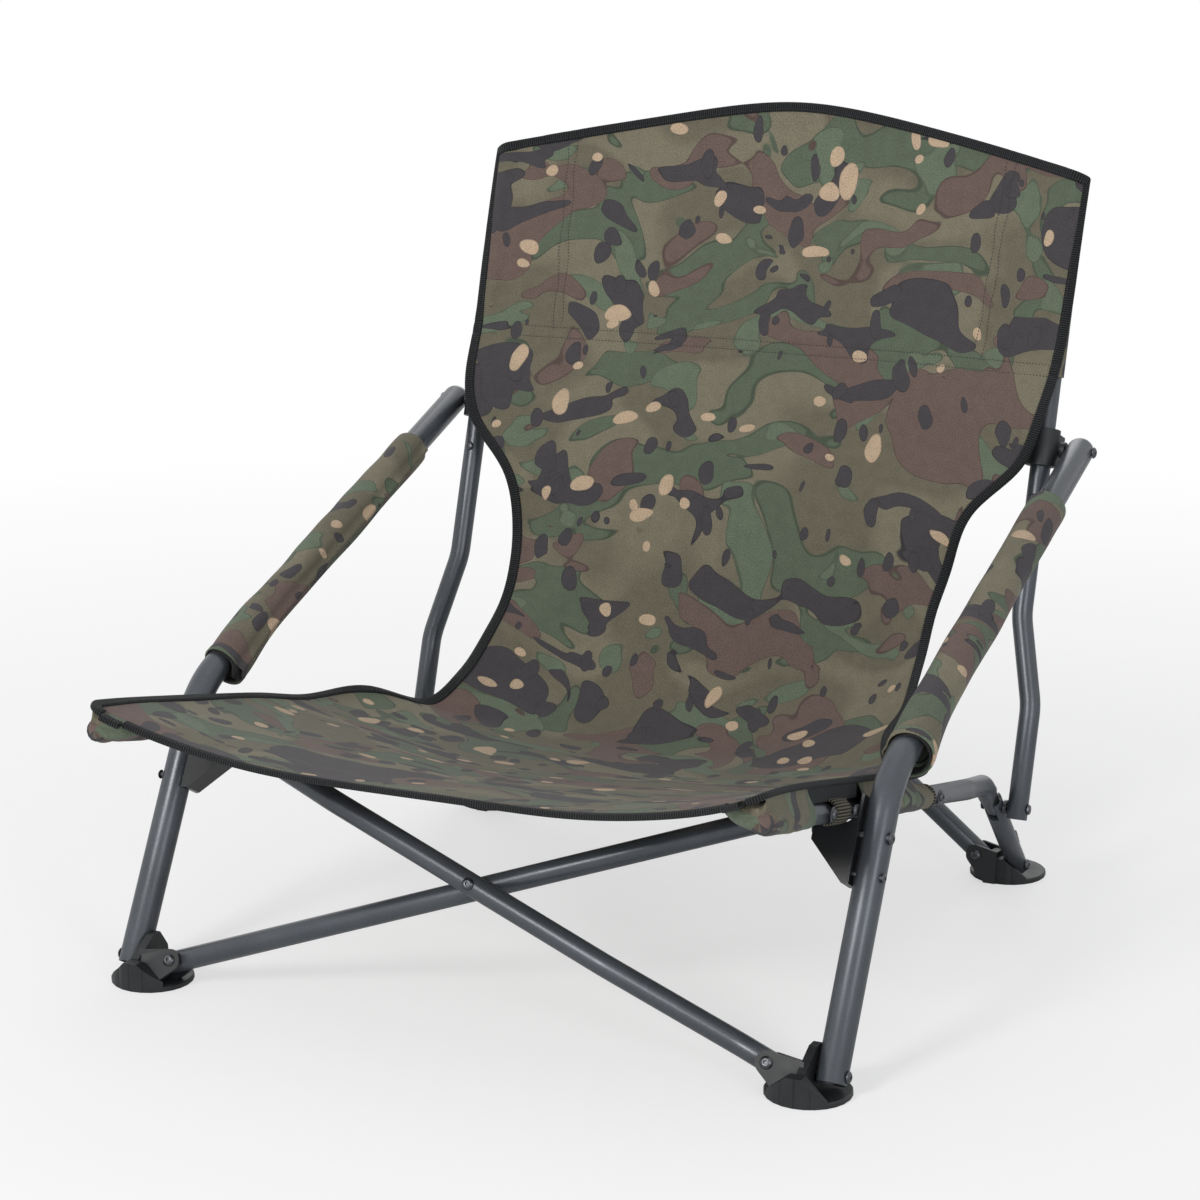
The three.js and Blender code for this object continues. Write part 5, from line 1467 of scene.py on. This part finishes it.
def stitches(patches, line, normals, radius, side="right"):
    """Threads laid along a line: at even steps a low capsule, its rings an ellipse wider than high whose size follows
    sin along the stitch, its ends dipping into the cloth."""
    sizes = bpy.context.scene.chair_sizes
    length, gap = sizes.stitch * 1000, sizes.stitch_gap * 1000
    distance = along(line)
    count = int(distance[-1] // (length + gap))
    at = (np.arange(count) + 0.5) * (length + gap) + (distance[-1] - count * (length + gap)) / 2
    centre, heading, up = (np.stack([np.interp(at, distance, values[:, i]) for i in range(3)], -1)
                           for values in (line, directions(line), normals))
    heading, up = unit(heading), unit(up)
    across = np.cross(heading, up)
    step = np.array([0.02, 0.18, 0.5, 0.82, 0.98])
    swell = np.sin(np.pi * step) ** 0.5
    angle = np.arange(6) * math.pi / 3
    tilt = 0.12 * np.sin(at * 12.9)[:, None, None, None]
    forward = ((step - 0.5) * length)[None, :, None, None]
    ring = (np.cos(angle)[:, None] * across[:, None, None] * 1.15 + np.sin(angle)[:, None] * up[:, None, None] * 0.8)
    rise = (radius * (1.6 * swell - 1.1))[None, :, None, None]
    points = (centre[:, None, None] + forward * (heading[:, None, None] + tilt * across[:, None, None])
              + rise * up[:, None, None] + ring * (radius * swell)[None, :, None, None])
    ends = [[5, 4, 3, 2, 1, 0], [24, 25, 26, 27, 28, 29]]
    caps = [[e[0], e[1], e[2], e[3]] for e in ends] + [[e[0], e[3], e[4], e[5]] for e in ends]
    faces = np.concatenate([grid_faces(len(step), 6, True), np.array(caps)])
    every = (faces[None] + 30 * np.arange(count)[:, None, None]).reshape(-1, 4)
    return patches.add(place(on_side(points, side)), every)


class CHAIR_OT_stitching(bpy.types.Operator):
    """Sew the double seams of the back"""

    bl_idname = "chair.stitching"
    bl_label = "Stitching"

    def execute(self, context):
        self.back_middle()
        for side in SIDES:
            self.back_side(side)
        return {"FINISHED"}

    def run(self, patches, u, v, side="right"):
        """One row of stitches on the sitter's face of the sling and one on its rear face."""
        normals, over = sling_normal(u, v), bpy.context.scene.chair_sizes.cloth * 500
        for face in (1, -1):
            stitches(patches, sling(u, v, face * over), face * normals, 0.42, side)

    def seam(self, patches, x_from, x_to, side="right"):
        """The double seam between two distances from the middle."""
        for which in (0, 1):
            x = np.linspace(x_from, x_to, 400)
            v = np.full(400, SEAM_AT)
            for _ in range(3):
                v = seam_line(x / half_width(v), which)
            self.run(patches, x / half_width(v), v, side)

    def back_middle(self):
        """The double seam between the splits, and the vertical double seams from it to the top edge."""
        patches = Patches()
        self.seam(patches, -BACK_SPLIT + 1, BACK_SPLIT - 1)
        for sign in (1, -1):
            for which in (0, 1):
                v = np.linspace(SEAM_AT + 4 - 6 * which, TOP - 12, 200)
                x = sign * (vertical_seam(v, which) + 0.9 * np.sin(v / 9 + 2 * which))
                self.run(patches, x / half_width(v), v)
        patches.piece("back_stitching_middle", "thread", "upright_left", "sling_fabric", 70, 0.0, squash=BACK_SQUASH)

    def back_side(self, side):
        """The double seam's end on the cloth that moves with an upright."""
        patches = Patches()
        self.seam(patches, BACK_SPLIT + 1, 286, side)
        patches.piece(f"back_stitching_{side}", "thread", f"upright_{side}", "sling_fabric", 70, 0.0)


# Arm pads

PAD_START, PAD_END = np.array([317, 151.8, 239.5]), np.array([317, 505.6, 366.8])
# The lower end: how far its middle hangs off the arm, how far its opening slants, and the angle at which it reaches
# furthest
PAD_SAG, PAD_SLANT = {"right": np.array([3.0, 0, -4.0]), "left": np.array([-3.0, 0, -4.0])}, 4.0
PAD_LONG = {"right": math.pi / 4, "left": 3 * math.pi / 4}
PAD_RADIUS, HEM_WIDE = 17.3, 8.5


class CHAIR_OT_arm_pads(bpy.types.Operator):
    """Build the padded sleeves of the arms"""

    bl_idname = "chair.arm_pads"
    bl_label = "Arm pads"

    def execute(self, context):
        for side in SIDES:
            self.pad(side)
        return {"FINISHED"}

    def pad(self, side):
        """A sleeve round the arm: nearly round sections with a flattened underside seam, slow dents and fine wrinkles,
        turned in over dark foam at both ends."""
        seed = 0.0 if side == "right" else 2.1
        t = np.linspace(0, 2 * math.pi, 96, endpoint=False)[None]
        length = float(np.linalg.norm(PAD_END - PAD_START))
        mm = packed(150, (0, HEM_WIDE / length), 0.012, 3.0)[:, None] * length
        cut = int(np.searchsorted(mm[:, 0], HEM_WIDE))
        mm = np.concatenate([mm[:cut], mm[cut:cut + 1], mm[cut:]])
        radius = PAD_RADIUS + 0.45 * np.sin(mm / 31 + 2 * t + seed) + 0.3 * np.sin(mm / 17 - 3 * t + 2 * seed)
        radius = radius + 0.22 * np.sin(mm / 7.5 + 2 * np.sin(t + seed)) * np.clip(np.cos(t - 2.4), 0, 1)
        seam = np.abs(((t - math.pi * 1.5 + math.pi) % (2 * math.pi)) - math.pi)
        radius = radius + 2.2 * bell(seam, 0.16) - 0.8 * bell(seam - 0.4, 0.2)
        radius = radius * (1 - 0.03 * np.exp(-(length - mm) / 5)) + 2.5 * bell(mm, 62)
        hem = np.arange(len(mm))[:, None] <= cut
        radius = radius + 0.5 * hem - 0.35 * bell(mm - HEM_WIDE, 1.6)
        straight = PAD_START + (PAD_END - PAD_START) * (mm / length)
        line = straight + PAD_SAG[side] * bell(mm, 40)
        tangents = np.repeat(unit(PAD_END - PAD_START)[None], len(line), 0)
        rings = sweep(line, tangents, polar(radius, t), ACROSS)
        slant = PAD_SLANT * np.cos(t + PAD_LONG[side]) * bell(mm, 25)
        rings = on_side(rings - slant[..., None] * tangents[:, None], side)
        uv = pairs(t * 0.017 + 0.31 * hem, mm / 1000 + 0.47 * hem)
        lip = []
        for end, heading, bore, deep in ((0, -1, 16.4, 9.0), (-1, 1, 15.0, 4.0)):
            axis, core, middle = (on_side(p, side) for p in (line[end], straight[end], (line[end] + straight[end]) / 2))
            out = unit(rings[end] - axis)
            across = unit(out - (out @ tangents[0])[:, None] * tangents[0])
            inward = -heading * tangents[0]
            lip.append(np.stack([rings[end] - out * 0.5 - inward * 0.5, rings[end] - out * 1.4 - inward * 0.3,
                                 middle + across * bore + inward * deep, core + across * 13.2 + inward * (deep + 6)]))
        whole = np.concatenate([lip[0][::-1], rings, lip[1]])
        uvs = np.concatenate([uv[:1].repeat(4, 0), uv, uv[-1:].repeat(4, 0)])
        bore = np.concatenate([whole[-1:], whole[:1]])
        patches = Patches().grid(place(whole), True, uvs).grid(place(bore), True, uvs[:2])
        made = patches.piece(f"arm_pad_{side}", f"pad_{side}", f"leg_{side}", "pad_fabric", 70,
                             node=f"arm_sleeve_{side}")
        self.lining(side, line, tangents)

    def lining(self, side, line, tangents):
        """The dark lining at both open ends: a thin ring inside the pad that stands out a little, most on its
        underside at the lower end, where a loose tab hangs."""
        patches = Patches()
        t = np.linspace(0, 2 * math.pi, 64, endpoint=False)
        tab = 9.0 * bell(t - 1.5 * math.pi, 0.45)
        for point, heading, reach, out, deep in (
            (line[0], -tangents[0], 1.6 + tab + PAD_SLANT * np.cos(t + PAD_LONG[side]), 0.0, 8.6),
            (line[-1], tangents[0], 1.4 + 0 * t, -2.4, 3.8),
        ):
            offset = np.stack([-deep + 0 * t, reach - 0.5, reach, reach - 0.3, 0.5 - deep + 0 * t, 0.2 - deep + 0 * t,
                               -deep + 0 * t])
            skin = np.array([17.3, 17.6, 17.0, 16.1, 15.8, 13.0, 13.0]) + out * np.array([1, 1, 1, 1, 1, 0, 0])
            radius = skin[:, None] + 0.25 * np.sin(5 * t)
            section = polar(radius, t)
            rings = sweep(np.repeat(point[None], 7, 0), np.repeat(tangents[:1], 7, 0), section, ACROSS)
            rings = rings + offset[..., None] * heading
            patches.grid(place(on_side(np.concatenate([rings, rings[:1]]), side)), True)
        patches.piece(f"arm_pad_lining_{side}", "foam", f"leg_{side}", "pad_fabric", 60)


# Stage

CAMERA_PLACE, CAMERA_LENS = (1.1682, -2.5439, 0.97735), 99.23
CAMERA_YAW, CAMERA_PITCH, CAMERA_ROLL = 25.13, 13.73, -0.03
FLOOR_HALF = 40.0
# The floor's own white, as the camera sees it: its share near the chair, and the distances between which it grows
NEAR_WHITE, FADE_NEAR, FADE_FAR = 0.6, 0.55, 2.2
SOFT_LIGHT = 0.45
WHITE, SKY = (1, 1, 1), (0.975, 0.988, 1)
LAMPS_LOOK_AT = (0, 0, 0.3)
# Lamps: name, place, size, watts, colour
LAMPS = (
    ("key", (-0.7, -3.2, 1.9), 0.8, 56, (1, 0.99, 0.97)), ("fill", (2.9, -2.4, 1.3), 0.9, 24, (0.96, 0.98, 1)),
    ("top", (0.2, 0.3, 3.1), 2.2, 5, WHITE), ("rear", (-0.8, 2.6, 1.9), 1.5, 12, WHITE),
)


class CHAIR_OT_stage(bpy.types.Operator):
    """Set up the camera, floor, lamps and pale background"""

    bl_idname = "chair.stage"
    bl_label = "Camera, floor and lamps"

    def execute(self, context):
        scene = context.scene
        data = bpy.data.cameras.new("camera")
        data.lens, data.sensor_width = CAMERA_LENS, 36
        data.clip_start, data.clip_end = 0.05, 100
        camera = linked("camera", data)
        camera.location = CAMERA_PLACE
        camera.rotation_euler = (math.radians(90 - CAMERA_PITCH), math.radians(CAMERA_ROLL), math.radians(CAMERA_YAW))
        scene.camera = camera
        self.floor()
        self.lamps()
        self.world()
        scene.view_settings.view_transform = "Standard"
        return {"FINISHED"}

    def floor(self):
        """A pale floor that shines white to the camera, fully so away from the chair."""
        x = np.linspace(-FLOOR_HALF, FLOOR_HALF, 3)
        points = np.concatenate([np.stack(np.meshgrid(x, x, indexing="xy"), -1), np.zeros((3, 3, 1))], -1)
        colour = bpy.context.scene.chair_colours.floor
        s = Shader("pale_floor")
        grain = s.noise(s.object_place(), 30, 3, 51)
        tone = s.mix(s.spread(grain), scaled(colour, 0.985), colour)
        s.set(Base_Color=tone, Roughness=0.9, Specular_IOR_Level=0.1)
        far = s.node("ShaderNodeVectorMath", {0: s.object_place()}, operation="LENGTH").outputs["Value"]
        camera = s.node("ShaderNodeLightPath").outputs["Is Camera Ray"]
        seen = s.math("MULTIPLY", camera, s.ramp(far, FADE_NEAR, FADE_FAR, NEAR_WHITE, 1.0))
        white = s.node("ShaderNodeEmission", {"Color": WHITE, "Strength": 1.0}).outputs[0]
        both = s.node("ShaderNodeMixShader", {0: seen, 1: s.surface.outputs[0], 2: white}).outputs[0]
        s.put(s.out.inputs[0], both)
        Patches().grid(points).object("floor", s.material)

    def lamps(self):
        """The lamps of the table, each turned to the chair."""
        for name, where, size, power, colour in LAMPS:
            data = bpy.data.lights.new(name, "AREA")
            data.energy, data.size, data.color = power, size, colour
            lamp = linked(name, data)
            lamp.location = where
            lamp.rotation_euler = (Vector(LAMPS_LOOK_AT) - Vector(where)).to_track_quat("-Z", "Y").to_euler()

    def world(self):
        """White where the camera, a gloss or a transmission ray looks, and a soft grey light elsewhere."""
        world = bpy.data.worlds.new("pale_world")
        bpy.context.scene.world = world
        world.use_nodes = True
        s = Nodes(world.node_tree)
        ray = s.node("ShaderNodeLightPath").outputs
        seen = s.math("MAXIMUM", ray["Is Camera Ray"], ray["Is Glossy Ray"])
        through = s.math("MAXIMUM", seen, ray["Is Transmission Ray"])
        soft = s.node("ShaderNodeBackground", {"Color": SKY, "Strength": SOFT_LIGHT}).outputs[0]
        white = s.node("ShaderNodeBackground", {"Color": WHITE, "Strength": 1.0}).outputs[0]
        mixed = s.node("ShaderNodeMixShader", {0: through, 1: soft, 2: white}).outputs[0]
        s.node("ShaderNodeOutputWorld", {0: mixed})


class CHAIR_PT_panel(bpy.types.Panel):
    """Lists the steps and sizes"""

    bl_idname = "CHAIR_PT_panel"
    bl_label = "Folding chair"
    bl_space_type = "VIEW_3D"
    bl_region_type = "UI"
    bl_category = "Chair"

    def draw(self, context):
        for step in STEPS:
            self.layout.operator(step.bl_idname)
        for group in (context.scene.chair_sizes, context.scene.chair_colours):
            for name in group.__annotations__:
                self.layout.prop(group, name)


STEPS = (CHAIR_OT_tubes, CHAIR_OT_mouldings, CHAIR_OT_fasteners, CHAIR_OT_sling, CHAIR_OT_binding, CHAIR_OT_stitching,
         CHAIR_OT_arm_pads, CHAIR_OT_stage)
CLASSES = (ChairSizes, ChairColours, *STEPS, CHAIR_PT_panel)


def register():
    for item in CLASSES:
        bpy.utils.register_class(item)
    bpy.types.Scene.chair_sizes = PointerProperty(type=ChairSizes)
    bpy.types.Scene.chair_colours = PointerProperty(type=ChairColours)


def unregister():
    del bpy.types.Scene.chair_colours
    del bpy.types.Scene.chair_sizes
    for item in reversed(CLASSES):
        bpy.utils.unregister_class(item)


def main():
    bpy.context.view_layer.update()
    register()
    bpy.ops.chair.tubes()
    bpy.ops.chair.mouldings()
    bpy.ops.chair.fasteners()
    bpy.ops.chair.sling()
    bpy.ops.chair.binding()
    bpy.ops.chair.stitching()
    bpy.ops.chair.arm_pads()
    bpy.ops.chair.stage()


if __name__ == "__main__":
    main()
